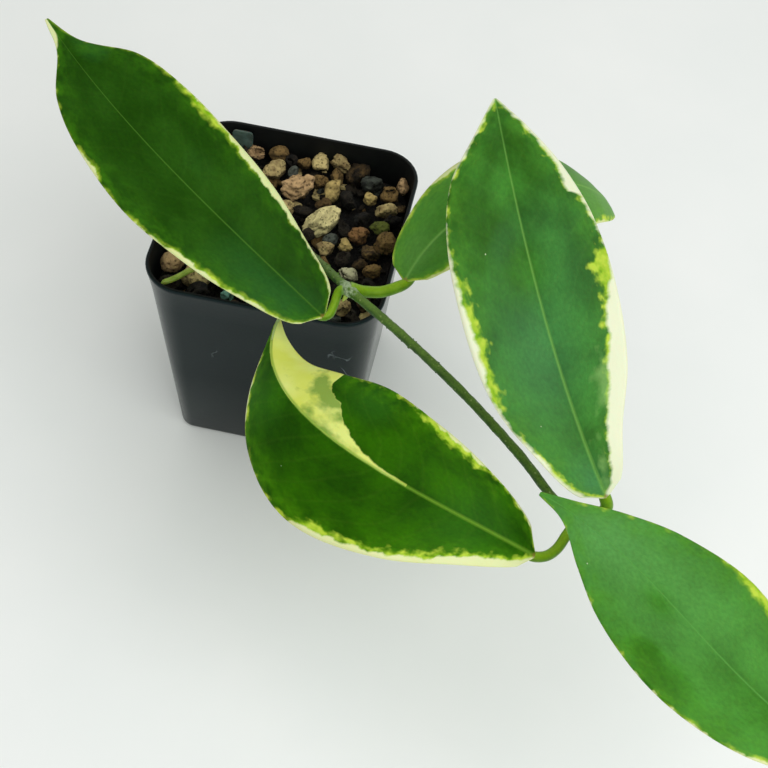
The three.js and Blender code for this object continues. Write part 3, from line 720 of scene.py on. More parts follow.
def pot_plastic():
    """Thin injection-moulded polypropylene. The eye sees a satin blue-black skin with a very
    fine orange peel, a few pale rub marks and a slightly lighter rim edge, which is a painted
    highlight."""
    made, tree, shader = material(
        "satin_black_polypropylene",
        {"IOR": 1.49, "Specular IOR Level": 0.2, "Specular Tint": colour("#bcecf2")},
    )
    place = add(tree, "TexCoord", {}).outputs["Object"]
    height = add(tree, "SeparateXYZ", {0: place}).outputs[2]
    skin = clouded(tree, place, 18, 4, "#050b0c", "#0a1213")
    fleck = {"Vector": place, "Scale": per_mm(1.6), "Detail": 6, "Roughness": 0.7}
    dust = add(tree, "TexNoise", fleck)
    skin = over(tree, skin, dust, 0.62, 0.8, 0.2, "#5d666a")
    # Rub marks: short crooked lines, where the edge between two warped 16 mm cells shows.
    warp = add(tree, "TexNoise", {"Vector": place, "Scale": per_mm(9), "Detail": 2})
    shift = (20 * MM, 20 * MM, 20 * MM)
    bent = add(tree, "VectorMath", {0: warp.outputs["Color"], 1: shift}, operation="MULTIPLY")
    bent = add(tree, "VectorMath", {0: place, 1: bent}, operation="ADD")
    lines = {"Vector": bent, "Scale": per_mm(16)}
    lines = add(tree, "TexVoronoi", lines, feature="DISTANCE_TO_EDGE")
    hair = add(tree, "MapRange", {0: lines, 1: 0.018, 2: 0.006})
    where = add(tree, "TexNoise", {"Vector": place, "Scale": per_mm(13), "Detail": 1})
    some = add(tree, "MapRange", {0: where, 1: 0.64, 2: 0.7, 3: 0, 4: 0.3})
    marks = add(tree, "Math", {0: hair, 1: some}, operation="MULTIPLY")
    skin = add(tree, "MixRGB", {0: marks, 1: skin, 2: colour("#8a9598")})
    # Painted highlight: a thin lighter line along the top of the rim.
    rim = POT["height"]
    skin = over(tree, skin, height, (rim - 0.8) * MM, (rim - 0.1) * MM, 0.05, "#59636a")
    gloss = add(tree, "MapRange", {0: dust, 1: 0.3, 2: 0.7, 3: 0.14, 4: 0.26})
    peel = add(tree, "TexNoise", {"Vector": place, "Scale": per_mm(0.9), "Detail": 2})
    bump = add(tree, "Bump", {"Strength": 0.25, "Distance": 0.00008, "Height": peel})
    return finished(made, shader, skin, bump, gloss)


def inner_plastic():
    """The same polypropylene where damp mix has dulled it. The eye sees a flat, deep black."""
    made, tree, shader = material(
        "damp_black_polypropylene", {"Roughness": 0.6, "IOR": 1.49, "Specular IOR Level": 0.2}
    )
    place = add(tree, "TexCoord", {}).outputs["Object"]
    skin = clouded(tree, place, 5, 4, "#080a0a", "#101211", 0.35, 0.7)
    return finished(made, shader, skin)


def label_plastic():
    """A used polypropylene plant label. The eye sees a cloudy grey-green strip, a little
    see-through, with dried lime film."""
    made, tree, shader = material(
        "cloudy_label_polypropylene",
        {"IOR": 1.49, "Subsurface Weight": 0.25, "Subsurface Scale": 0.001},
    )
    place = add(tree, "TexCoord", {}).outputs["Object"]
    smear = {"Vector": place, "Scale": per_mm(2.5), "Detail": 6, "Roughness": 0.65}
    film = add(tree, "TexNoise", smear)
    skin = between(tree, film, 0.35, 0.68, "#2e3f38", "#50645b")
    gloss = add(tree, "MapRange", {0: film, 1: 0.3, 2: 0.7, 3: 0.45, 4: 0.7})
    bump = add(tree, "Bump", {"Strength": 0.4, "Distance": 0.0001, "Height": film})
    return finished(made, shader, skin, bump, gloss)


def painted_floor():
    """Matt white paint. The eye sees a plain pale ground."""
    matt = {"Roughness": 0.8, "Specular IOR Level": 0.2}
    made, tree, shader = material("matt_white_paint", matt)
    place = add(tree, "TexCoord", {}).outputs["Object"]
    skin = clouded(tree, place, 60, 3, "#f0f1f1", "#f4f4f4")
    return finished(made, shader, skin)


SKINS = {
    "leaf_1_left": leaf_skin(
        "waxy_leaf_deep_green",
        deep="#1a4200", fresh="#265209", painted_sheen_and_shade="#2f6b38", rib="#4f7d28", sun="#3f7a0c",
        ivory="#d2da96", sheen=0.07, fray=0.4,
    ),
    "leaf_1_right": leaf_skin(
        "waxy_leaf_sunlit_green",
        deep="#346f14", fresh="#468425", painted_sheen_and_shade="#659847", rib="#76a84e", sun="#5f9a1e",
        ivory="#c6d27e", rib_width=0.5, fray=0.5,
    ),
    "leaf_2_right": leaf_skin(
        "waxy_leaf_blue_green",
        deep="#27580a", fresh="#3b7a24", painted_sheen_and_shade="#458350", rib="#72a64a", sun="#4f8c22",
        rib_width=0.6, ivory="#dde1c2", fray=1.3, soft=0.5, muted="#8cb866", veiled=0.5,
    ),
    "leaf_2_left": leaf_skin(
        "waxy_leaf_dark_green",
        deep="#1b4500", fresh="#2d6200", painted_sheen_and_shade="#306816", rib="#6f9a2c", sun="#4f8c08",
        veiled=0.9, rib_width=0.6, sheen=0.05, patched=True,
    ),
    "leaf_3": leaf_skin(
        "waxy_leaf_bright_green",
        deep="#2f6808", fresh="#418524", painted_sheen_and_shade="#5b994e", rib="#5a9a42", sun="#4c8c18",
        fray=0.6,
    ),
}
UNDERSIDE = leaf_skin(
    "matt_leaf_underside",
    deep="#5b8a4a", fresh="#6f9c5c", painted_sheen_and_shade="#7ba86b", rib="#a9c48f", sun="#7ba060",
    muted="#9db98a", rough=0.6, sheen=0.25,
)
PETIOLE = petiole_skin()
STEM = stem_skin()
NEW_SHOOT = shoot_skin()
PLASTIC = pot_plastic()
INNER_PLASTIC = inner_plastic()
LABEL_PLASTIC = label_plastic()
FINES = damp_fines()
ROCKS = {
    "wedge": rock("dusty_grey_pumice", "#e6d69a", "#a2946a", 0.9),
    "pumice": rock("beige_pumice", "#ccb67c", "#86704a", 1.1),
    "ash": rock("pale_ash_pumice", "#c2bc98", "#8a8672", 1.2),
    "rose_tuff": rock("rose_tuff", "#c4a074", "#7e6344", 1.3),
    "ochre": rock("ochre_akadama_clay", "#c0a668", "#665630", 1.5),
    "lava": rock("brown_lava_rock", "#7c6239", "#2e2212", 0.8),
    "umber": rock("umber_lava_rock", "#554124", "#1b130a", 0.9),
    "russet": rock("russet_lava_rock", "#86613c", "#382414", 1),
    "slate": rock("grey_green_chippings", "#50544c", "#1c1f1b", 1.6, 0.75),
    "mossy": rock("mossy_pumice", "#5d6428", "#262b0e", 1.2),
    "copper_green": rock("weathered_green_zeolite", "#7fb3a2", "#3f7263", 1.4, 0.7),
    "bark": rock("damp_dark_bark", "#2b241b", "#0a0806", 0.9),
}


# Camera, floor and light


def camera():
    """The photograph's viewpoint, found from the pot's rim and foot."""
    bpy.ops.object.camera_add()
    eye = new_piece("photograph_camera")
    turn = Matrix.Identity(4)
    for name, axis in (("yaw", "Z"), ("tilt", "X"), ("roll", "Z")):
        turn = turn @ Matrix.Rotation(math.radians(CAMERA[name]), 4, axis)
    eye.matrix_world = Matrix.Translation(Vector(CAMERA["place"]) * MM) @ turn
    eye.data.sensor_width = CAMERA["sensor"]
    eye.data.lens = CAMERA["sensor"] * CAMERA["focal_px"] / CAMERA["photo_px"]
    eye.data.clip_start = 0.01
    bpy.context.scene.camera = eye


def floor():
    """A plain pale floor, 8 m wide."""
    bpy.ops.mesh.primitive_plane_add(size=8)
    ground = new_piece("studio_floor")
    coat(ground, painted_floor())


def softbox(name, place, size, power, tint):
    """A large square lamp, this many metres wide, that looks at the plant's middle."""
    bpy.ops.object.light_add(type="AREA", location=place)
    lamp = new_piece(name)
    aim = Vector((50, -50, POT["height"])) * MM - Vector(place)
    lamp.rotation_euler = aim.to_track_quat("-Z", "Y").to_euler()
    lamp.data.shape = "SQUARE"
    lamp.data.size = size
    lamp.data.energy = power
    lamp.data.color = colour(tint)[:3]


def studio():
    """Even daylight all round, and a window's soft light from the right."""
    world = bpy.data.worlds.new("studio")
    bpy.context.scene.world = world
    world.use_nodes = True
    sky = world.node_tree.nodes["Background"]
    sky.inputs["Color"].default_value = colour("#eef1ec")
    sky.inputs["Strength"].default_value = 0.86
    softbox("window_light", place=(0.45, -0.36, 0.58), size=0.6, power=2.8, tint="#fbfdff")
    bpy.context.scene.view_settings.view_transform = "Standard"


# Pot


def square_ring(half, corner, z, steps=10):
    """A level square with rounded corners, in metres."""
    ring = []
    for side in range(4):
        turn = (side + 0.5) * math.pi / 2
        for step in range(steps + 1):
            angle = (side + step / steps) * math.pi / 2
            x = (half - corner) * math.sqrt(2) * math.cos(turn) + corner * math.cos(angle)
            y = (half - corner) * math.sqrt(2) * math.sin(turn) + corner * math.sin(angle)
            ring.append((x * MM, y * MM, z * MM))
    return ring


def outer_half(z):
    """Half the width of the pot's outer wall at a height."""
    return lerp(POT["base"] / 2, POT["rim"] / 2 - POT["lip_out"], z / POT["height"])


def outer_corner(z):
    """The corner radius of the pot's outer wall at a height."""
    return lerp(POT["base_corner"], POT["rim_corner"] - POT["lip_out"], z / POT["height"])


def offset_ring(z, out):
    """The pot's outer wall at a height, moved out by so many millimetres."""
    return square_ring(outer_half(z) + out, outer_corner(z) + out, z)


def ring_body(name, rings):
    """A filled outline, extruded ring by ring, each new ring moved to its place, and closed."""
    clear_selection()
    bpy.ops.mesh.primitive_circle_add(vertices=len(rings[0]), radius=1, fill_type="NGON")
    piece = new_piece(name)
    set_points(piece, np.array(rings[0]))
    bpy.ops.object.mode_set(mode="EDIT")
    bpy.ops.mesh.select_mode(type="EDGE")
    bpy.ops.mesh.select_all(action="SELECT")
    for before, after in zip(rings, rings[1:]):
        bpy.ops.mesh.extrude_edges_move()
        mesh = bmesh.from_edit_mesh(piece.data)
        spots = {tuple(round(c, 6) for c in old): new for old, new in zip(before, after)}
        for vertex in mesh.verts:
            if vertex.select:
                vertex.co = spots[tuple(round(c, 6) for c in vertex.co)]
    close_up()
    return piece


def pot():
    """The pot, ring by ring from the underside up its outside, over the rim and down inside."""
    wall, top = POT["wall"], POT["height"]
    rings = [offset_ring(0, -1.6)]
    for inset, z in ((0.8, 0.12), (0.2, 0.6)):
        rings.append(square_ring(outer_half(0) - inset, outer_corner(0) - inset, z))
    lip_foot = top - 3 * POT["lip_height"]
    for z in (1.4, lip_foot / 2, lip_foot):
        rings.append(offset_ring(z, 0))
    for rise, share in ((4, 0.2), (8, 0.6), (10.5, 0.92)):
        rings.append(offset_ring(lip_foot + rise, POT["lip_out"] * share))
    for inset, drop in ((0.03, 0.7), (0.1, 0.3), (0.32, 0.06), (0.6, 0)):
        rings.append(square_ring(POT["rim"] / 2 - inset, POT["rim_corner"] - inset, top - drop))
    # The wall thins out towards the rim, and the inner edge is rounded.
    for drop, thinned in ((0, 0.5), (0.06, 0.42), (0.35, 0.38), (6, 0.3), (9, 0), (top - 3, 0)):
        rings.append(offset_ring(top - drop, thinned - wall))
    rings.append(offset_ring(POT["floor"], -wall - 1))
    cup = ring_body("square_nursery_pot", rings)
    for side_x in (-1, 1):
        for side_y in (-1, 1):
            clear_selection()
            place = (side_x * DRAIN["offset"] * MM, side_y * DRAIN["offset"] * MM, 0)
            bpy.ops.mesh.primitive_cylinder_add(
                vertices=32, radius=DRAIN["diameter"] / 2 * MM, depth=6 * MM, location=place
            )
            drill = new_piece("drain_drill")
            apply_modifier(cup, "BOOLEAN", object=drill, operation="DIFFERENCE", solver="EXACT")
            bpy.data.objects.remove(drill)
    coat(cup, PLASTIC, INNER_PLASTIC)
    # The damp, dull plastic is on every face that looks in or up.
    for face in cup.data.polygons:
        faces_out = face.normal.xy.dot(face.center.xy) > 1e-6
        face.material_index = int(not faces_out and face.normal.z > -0.5)
    smooth(cup, 35)
    stands_for(cup, "pot")


# Gritty mix


def inner_reach(x, y, z, gap):
    """How far the pot's inside reaches from its middle in the direction of x, y."""
    half = outer_half(z) - POT["wall"] - gap
    corner = outer_corner(z) - POT["wall"] - gap
    big, small = max(abs(x), abs(y)), min(abs(x), abs(y))
    slope = small / big
    if slope * half <= half - corner:
        return half * math.hypot(1, slope)
    # Where the ray meets the corner's arc.
    ux, uy = 1 / math.hypot(1, slope), slope / math.hypot(1, slope)
    centre = half - corner
    along = (ux + uy) * centre
    return along + math.sqrt(along**2 - 2 * centre**2 + corner**2)


def filling():
    """The body of the mix: a bumpy top of crumbs, and plain sides down to the pot's floor."""
    gap, top, bottom = MIX["wall_gap"], MIX["fines_top"], MIX["fines_bottom"]
    clear_selection()
    bpy.ops.mesh.primitive_grid_add(x_subdivisions=90, y_subdivisions=90, size=2)
    core = new_piece("damp_fines")
    for vertex in core.data.vertices:
        x, y = vertex.co.x, vertex.co.y
        edge = max(abs(x), abs(y))
        reach = inner_reach(x, y, top, gap) if edge > 1e-6 else 0
        length = math.hypot(x, y) or 1
        far = edge * reach
        # Heaps 4 mm across and crumbs of 1 mm, level along the pot's wall.
        bumps = noise.fractal(Vector((x, y, 3)) * 9, 1, 2, 4)
        bumps += noise.fractal(Vector((x, y, 9)) * 30, 1, 2, 2) / 2
        height = top + 0.9 * bumps * (1 - edge**12)
        vertex.co = Vector((x / length * far, y / length * far, height)) * MM
    bpy.ops.object.mode_set(mode="EDIT")
    bpy.ops.mesh.select_mode(type="EDGE")
    bpy.ops.mesh.select_all(action="DESELECT")
    bpy.ops.mesh.select_non_manifold()
    bpy.ops.mesh.extrude_edges_move()
    mesh = bmesh.from_edit_mesh(core.data)
    for vertex in mesh.verts:
        if vertex.select:
            x, y = vertex.co.x, vertex.co.y
            reach = inner_reach(x, y, bottom, gap + 0.7) / math.hypot(x, y)
            vertex.co = Vector((x * reach, y * reach, bottom)) * MM
    close_up()
    coat(core, FINES)
    smooth(core, 60)
    stands_for(core, "grit_bed")


def rough_stone(name, seed, cuts, lumps, lobe=0, voxel=0.115):
    """A pebble a unit across: a ball, or two grown together, cut flat on many sides, rounded
    off, and roughened by lumps and then by grains."""
    random = seeded(seed)
    clear_selection()
    bpy.ops.mesh.primitive_ico_sphere_add(subdivisions=3, radius=1)
    pebble = new_piece(name)
    if lobe:
        beside = (0.75, 0.3, 0.1)
        bpy.ops.mesh.primitive_ico_sphere_add(subdivisions=3, radius=lobe, location=beside)
        pebble = join([pebble, bpy.context.object], name)
    bpy.ops.object.mode_set(mode="EDIT")
    for _ in range(cuts):
        z = 2 * next(random) - 1
        angle = 2 * math.pi * next(random)
        ring = math.sqrt(1 - z * z)
        out = Vector((ring * math.cos(angle), ring * math.sin(angle), z))
        depth = 0.58 + 0.3 * next(random)
        bpy.ops.mesh.select_all(action="SELECT")
        bpy.ops.mesh.bisect(plane_co=out * depth, plane_no=out, use_fill=True, clear_outer=True)
    bpy.ops.object.mode_set(mode="OBJECT")
    apply_modifier(pebble, "REMESH", mode="VOXEL", voxel_size=voxel)
    apply_modifier(pebble, "SMOOTH", factor=0.3, iterations=1)
    for size, strength in ((0.75, lumps), (0.28, 0.2)):
        clouds = bpy.data.textures.new(f"{name}_{size}", "CLOUDS")
        clouds.noise_scale = size
        apply_modifier(pebble, "DISPLACE", texture=clouds, strength=strength, mid_level=0.5)
    places = points_of(pebble)
    set_points(pebble, places / np.abs(places).max(axis=0))
    return pebble


def hollow(pebble, place, size, depth):
    """Presses a rounded pit into a stone."""
    places = points_of(pebble)
    apart = np.linalg.norm(places - np.array(place), axis=1)
    press = depth * np.exp(-((apart / size) ** 2))
    set_points(pebble, places * (1 - press)[:, None])


def narrow(pebble, amount):
    """Makes a stone slimmer towards one end."""
    places = points_of(pebble)
    girth = 1 - amount * (places[:, 0] + 1) / 2
    set_points(pebble, places * np.stack([np.ones_like(girth), girth, girth], 1))


def in_corner(x, y, reach):
    """Whether a stone dropped here would stick out through a rounded corner of the pot."""
    return abs(x) + abs(y) > 2 * reach - CORNER_ROOM


def stone_places(random):
    """Small stones are dropped at random between the large ones and kept where they have room.
    They get smaller over the first 1500 tries."""
    places = [
        {"x": x, "y": y, "length": length, "width": width, "turn": turn, "rock": kind,
         "z": MIX["top"] + 0.12 * min(length, width), "swell": STONE_SWELL}
        for x, y, length, width, turn, kind in LARGE_STONES
    ]
    reach = outer_half(MIX["top"]) - POT["wall"] - 2
    tries = 0
    while len(places) < MIX["stones"] and tries < 6000:
        tries += 1
        shrink = min(1, tries / 1500)
        length = lerp(MIX["largest"], MIX["smallest"], shrink) * (0.8 + 0.4 * next(random))
        width = length * (0.65 + 0.3 * next(random))
        x = reach * (2 * next(random) - 1)
        y = reach * (2 * next(random) - 1)
        turn = 360 * next(random)
        z = MIX["top"] + (next(random) - 0.4) * 0.3 * width
        crowded = any(
            math.hypot(other["x"] - x, other["y"] - y)
            < 0.4 * (length + math.sqrt(other["length"] * other["width"]))
            for other in places
        )
        if not crowded and not in_corner(x, y, reach):
            place = {"x": x, "y": y, "z": z, "length": length, "width": width, "turn": turn}
            place["rock"] = SMALL_ROCKS[len(places) % len(SMALL_ROCKS)]
            places.append(place)
    return places


def copy_stone(model, name, place, random, tumble=True):
    """One copy of a stone, rolled over, sized and put in place."""
    stone = copy_of(model, name)
    swell = place.get("swell", 1)
    length, width = place["length"] * swell, place["width"] * swell
    spin = Matrix.Identity(4)
    if tumble:
        for axis in "XYZ":
            spin = Matrix.Rotation(2 * math.pi * next(random), 4, axis) @ spin
    high = place.get("high", min(length, width))
    size = Matrix.Diagonal((length / 2 * MM, width / 2 * MM, high / 2 * MM, 1))
    turn = Matrix.Rotation(math.radians(place["turn"]), 4, "Z")
    tilt = Matrix.Rotation(place.get("tilt", 0), 4, "X")
    seat = Matrix.Translation(Vector((place["x"], place["y"], place["z"])) * MM)
    place_in_mesh(stone, seat @ turn @ tilt @ size @ spin)
    store(stone, "stone_tone", np.full(len(stone.data.vertices), next(random) - 0.1))
    coat(stone, ROCKS[place["rock"]])
    return stone


def stones(random):
    """The stones in sight: a wedge and a knobbly one at the first two places, then pebbles of
    eight shapes by turns."""
    places = stone_places(random)
    models = [
        rough_stone(f"pebble_{i}", 31 + i, 6 + i % 4, 0.25 + 0.12 * (i % 3), 0.62 * (i % 2))
        for i in range(8)
    ]
    wedge = rough_stone("wedge_pumice", 57, 8, 0.2, voxel=0.08)
    narrow(wedge, 0.3)
    knobbly = rough_stone("knobbly_tuff", 63, 7, 0.6, 0.6, voxel=0.08)
    hollow(knobbly, (-0.2, 0.1, 0.9), 0.28, 0.45)
    hollow(knobbly, (0.6, -0.5, 0.6), 0.3, 0.25)
    hollow(knobbly, (0.4, 0.7, 0.5), 0.3, 0.25)
    made = []
    for i, place in enumerate(places):
        model = {0: wedge, 1: knobbly}.get(i, models[i % len(models)])
        made.append(copy_stone(model, f"stone_{i}", place, random, tumble=i > 1))
    # Two pieces, so that each stays well under 200,000 triangles.
    behind = [stone for stone, place in zip(made, places) if place["y"] > 0]
    ahead = [stone for stone, place in zip(made, places) if place["y"] <= 0]
    for heap in (join(behind, "mix_stones_back"), join(ahead, "mix_stones_front")):
        smooth(heap)
        stands_for(heap, "grit_bed")
    for model in [*models, wedge, knobbly]:
        bpy.data.objects.remove(model)


def crumbs(random):
    """Chips of bark and small grains that fill the gaps between the stones. Every third is a
    chip."""
    grain = rough_stone("grain", 91, 6, 0.2, voxel=0.5)
    clear_selection()
    bpy.ops.mesh.primitive_cube_add(size=2)
    chip = new_piece("bark_chip")
    apply_modifier(chip, "BEVEL", width=0.25, segments=1)
    lumps = bpy.data.textures.new("bark_lumps", "CLOUDS")
    lumps.noise_scale = 1.2
    apply_modifier(chip, "DISPLACE", texture=lumps, strength=0.7, mid_level=0.5)
    reach = outer_half(MIX["top"]) - POT["wall"] - 2.5
    made = []
    while len(made) < MIX["crumbs"]:
        x = reach * (2 * next(random) - 1)
        y = reach * (2 * next(random) - 1)
        if in_corner(x, y, reach):
            continue
        is_bark = len(made) % 3 == 0
        length = 3 + 3 * next(random) if is_bark else 1.6 + 2 * next(random)
        place = {
            "x": x,
            "y": y,
            "z": MIX["fines_top"] + 0.4 + 1.8 * next(random),
            "length": length,
            "width": length * (0.5 + 0.3 * next(random)),
            "turn": 360 * next(random),
            "rock": "bark" if next(random) < 0.6 else SMALL_ROCKS[int(10 * next(random))],
        }
        if is_bark:
            place["high"] = 1.2
            place["tilt"] = next(random) - 0.5
        made.append(copy_stone(chip if is_bark else grain, "crumb", place, random, not is_bark))
    scatter = join(made, "mix_crumbs")
    smooth(scatter, 50)
    stands_for(scatter, "grit_bed")
    for model in (grain, chip):
        bpy.data.objects.remove(model)


# Vine, shoot and label


def smooth_path(points, step):
    """A centripetal Catmull-Rom curve through the points, sampled about every step mm."""
    knots = [np.array(p, float) for p in points]
    knots = [2 * knots[0] - knots[1], *knots, 2 * knots[-1] - knots[-2]]
    path = []
    for p0, p1, p2, p3 in zip(knots, knots[1:], knots[2:], knots[3:]):
        t0, t1, t2 = (math.sqrt(np.linalg.norm(b - a)) for a, b in ((p0, p1), (p1, p2), (p2, p3)))
        start = t1 * ((p1 - p0) / t0 - (p2 - p0) / (t0 + t1) + (p2 - p1) / t1)
        end = t1 * ((p2 - p1) / t1 - (p3 - p1) / (t1 + t2) + (p3 - p2) / t2)
        count = max(2, round(np.linalg.norm(p2 - p1) / step))
        for t in np.arange(count) / count:
            path.append(
                p1
                + start * t
                + (-3 * p1 + 3 * p2 - 2 * start - end) * t * t
                + (2 * p1 - 2 * p2 + start + end) * t**3
            )
    return np.array([*path, knots[-2]])


def run_along(path):
    """The distance along a path at each of its points."""
    return np.concatenate([[0], np.cumsum(np.linalg.norm(np.diff(path, axis=0), axis=1))])


def tube(name, path, radii, skin, sides=16):
    """A round stalk along a path, with its own radius at each point."""
    clear_selection()
    bpy.ops.curve.primitive_bezier_curve_add()
    stalk = new_piece(name)
    shape = stalk.data
    shape.splines.clear()
    spline = shape.splines.new("POLY")
    spline.points.add(len(path) - 1)
    for point, place, radius in zip(spline.points, path, radii):
        point.co = (*(place * MM), 1)
        point.radius = radius * MM
    shape.bevel_depth = 1
    shape.bevel_resolution = sides // 2 - 2
    shape.use_fill_caps = True
    pick(stalk)
    bpy.ops.object.convert(target="MESH")
    stalk = new_piece(name)
    coat(stalk, skin)
    smooth(stalk, 60)
    return stalk


def bud(name, centre, direction, width, length):
    """A closed bud: an egg drawn out to a point, with the edge of one scale over another."""
    clear_selection()
    bpy.ops.mesh.primitive_uv_sphere_add(segments=20, ring_count=14, radius=0.5)
    made = new_piece(name)
    places = points_of(made)
    tall = places[:, 2] + 0.5
    slim = 1 - 0.55 * tall**2
    angle = np.arctan2(places[:, 1], places[:, 0])
    overlap = 1 + 0.1 * np.cos(angle) * (tall < 0.75)
    places[:, 0] *= slim * overlap * width * MM
    places[:, 1] *= slim * overlap * width * MM
    places[:, 2] *= length * MM
    set_points(made, places)
    turn = Vector(direction).to_track_quat("Z", "Y").to_matrix().to_4x4()
    place_in_mesh(made, Matrix.Translation(Vector(centre) * MM) @ turn)
    coat(made, NEW_SHOOT)
    smooth(made)
    return made


def root_warts(path):
    """Warts on the stem where it would root: half a millimetre across and half sunk."""
    random = seeded(WARTS["seed"])
    clear_selection()
    bpy.ops.mesh.primitive_ico_sphere_add(subdivisions=2, radius=1)
    model = new_piece("wart")
    coat(model, STEM)
    smooth(model)
    made = []
    for i in range(WARTS["count"]):
        at = 1 + int(next(random) * (len(path) - 2))
        ahead = Vector(path[at + 1] - path[at - 1]).normalized()
        out = ahead.orthogonal().normalized()
        out.rotate(Matrix.Rotation(2 * math.pi * next(random), 3, ahead))
        size = (WARTS["least"] + WARTS["spread"] * next(random) ** 2) * MM
        wart = copy_of(model, f"wart_{i}")
        foot = Matrix.Translation((Vector(path[at]) + out * STEM_RADIUS) * MM)
        turn = out.to_track_quat("Z", "Y").to_matrix().to_4x4()
        place_in_mesh(wart, foot @ turn @ Matrix.Diagonal((size, size, size * 0.8, 1)))
        made.append(wart)
    bpy.data.objects.remove(model)
    return made


def vine():
    """The stem with its swollen nodes, its warts, a resting bud at two nodes and one at its end."""
    path = smooth_path(VINE, 0.6)
    run = run_along(path)
    nodes = np.array([NODE_1, NODE_2, NODE_3], float)
    to_node = np.min(np.linalg.norm(path[:, None] - nodes[None], axis=2), axis=1)
    wobble = np.array([noise.noise(Vector((d / 7, 0, 0))) for d in run])
    swelling = np.exp(-((to_node / NODE_REACH) ** 2))
    radii = STEM_RADIUS * (1 + 0.05 * wobble) + (NODE_RADIUS - STEM_RADIUS) * swelling
    stem = tube("trailing_vine", path, radii, STEM, 24)
    bark = bpy.data.textures.new("stem_bumps", "CLOUDS")
    bark.noise_scale = 1.4 * MM
    apply_modifier(stem, "DISPLACE", texture=bark, strength=0.3 * MM, mid_level=0.5)
    pieces = [stem, *root_warts(path[run > WARTS["from"]])]
    for i, node in enumerate(nodes[:2]):
        centre = node + np.array([-0.6, -1.6, -1.4])
        pieces.append(bud(f"resting_bud_{i + 1}", centre, **RESTING_BUD))
    ahead = path[-1] - path[-2]
    ahead /= np.linalg.norm(ahead)
    pieces.append(bud("end_bud", nodes[2] + ahead * END_BUD["length"] / 2, ahead, **END_BUD))
    for piece in pieces:
        places = points_of(piece) / MM
        apart = np.linalg.norm(places[:, None] - path[None], axis=2)
        nearest = run[np.argmin(apart, axis=1)]
        to_node = np.min(np.linalg.norm(places[:, None] - nodes[None], axis=2), axis=1)
        store(piece, "stem_mm", np.stack([nearest, to_node, np.zeros_like(nearest)], 1))
    whole = join(pieces, "trailing_vine")
    stands_for(whole, "vine_stem")


def shoot():
    """A bare stalk that rounds off over its last 1.5 mm."""
    path = smooth_path(SHOOT, 1)
    run = run_along(path)
    left = run[-1] - run
    rounding = np.sqrt(np.clip(1 - (1 - np.clip(left / 1.5, 0, 1)) ** 2, 0.05, 1))
    radii = SHOOT_RADIUS * rounding
    stalk = tube("side_shoot_stalk", path, radii, NEW_SHOOT, 14)
    stands_for(stalk, "side_shoot")


def label():
    """A blank stake with rounded top corners, leaning with the pot's back wall."""
    clear_selection()
    length = LABEL["top"] - LABEL["bottom"]
    bpy.ops.mesh.primitive_cube_add(size=1)
    stake = new_piece("blank_plant_label")
    places = points_of(stake)
    places[:, 2] -= 0.5
    places[places[:, 2] < -0.9, 0] *= 0.6
    set_points(stake, places * np.array([LABEL["width"], LABEL["thickness"], length]) * MM)
    bpy.ops.object.mode_set(mode="EDIT")
    bpy.ops.mesh.select_mode(type="EDGE")
    bpy.ops.mesh.select_all(action="DESELECT")
    mesh = bmesh.from_edit_mesh(stake.data)
    for edge in mesh.edges:
        a, b = (v.co for v in edge.verts)
        edge.select = abs(a.y - b.y) > 0.5 * LABEL["thickness"] * MM
    bmesh.update_edit_mesh(stake.data)
    bpy.ops.mesh.bevel(offset=LABEL["corner"] * MM, segments=5)
    bpy.ops.object.mode_set(mode="OBJECT")
    apply_modifier(stake, "BEVEL", width=LABEL["edge"] * MM, segments=2, limit_method="ANGLE")
    lean = math.atan((POT["rim"] - POT["base"]) / 2 / POT["height"])
    top = Vector((LABEL["x"], LABEL["y"], LABEL["top"])) * MM
    place_in_mesh(stake, Matrix.Translation(top) @ Matrix.Rotation(-lean, 4, "X"))
    coat(stake, LABEL_PLASTIC)
    smooth(stake, 40)
    stands_for(stake, "plant_label")


# Leaves


def half_width(values, s):
    """Smooth values between the stations of a leaf's outline."""
    values = np.array(values, float)
    slopes = np.gradient(values)
    slopes[1:-1] = (values[2:] - values[:-2]) / (STATIONS[2:] - STATIONS[:-2])
    slopes[0] = (values[1] - values[0]) / (STATIONS[1] - STATIONS[0])
    slopes[-1] = (values[-1] - values[-2]) / (STATIONS[-1] - STATIONS[-2])
    i = np.clip(np.searchsorted(STATIONS, s, side="right") - 1, 0, len(STATIONS) - 2)
    span = STATIONS[i + 1] - STATIONS[i]
    t = (s - STATIONS[i]) / span
    return (
        (1 + 2 * t) * (1 - t) ** 2 * values[i]
        + t * (1 - t) ** 2 * span * slopes[i]
        + t * t * (3 - 2 * t) * values[i + 1]
        + t * t * (t - 1) * span * slopes[i + 1]
    )


def unit(rows):
    return rows / np.linalg.norm(rows, axis=-1, keepdims=True)


def rib_frame(shape, s):
    """The midrib at s, and there the directions towards the tip, upwards and to the right."""
    p0, p1, p2, p3 = (np.array(p, float) for p in shape["midrib"])
    t = s[:, None]
    point = (1 - t) ** 3 * p0 + 3 * t * (1 - t) ** 2 * p1 + 3 * t * t * (1 - t) * p2 + t**3 * p3
    forward = unit((1 - t) ** 2 * (p1 - p0) + 2 * t * (1 - t) * (p2 - p1) + t * t * (p3 - p2))
    up = lerp(np.array(shape["up"][0], float), np.array(shape["up"][1], float), t)
    up = unit(up - np.sum(up * forward, axis=1, keepdims=True) * forward)
    return point, forward, up, np.cross(forward, up)


def spot(along, across, centre_along, centre_across, long, wide, turn):
    """How far inside an oval a place lies, in mm. It is negative outside."""
    c, s = math.cos(math.radians(turn)), math.sin(math.radians(turn))
    da, db = along - centre_along, across - centre_across
    away = np.hypot((da * c + db * s) / long, (db * c - da * s) / wide)
    return (1 - away) * wide


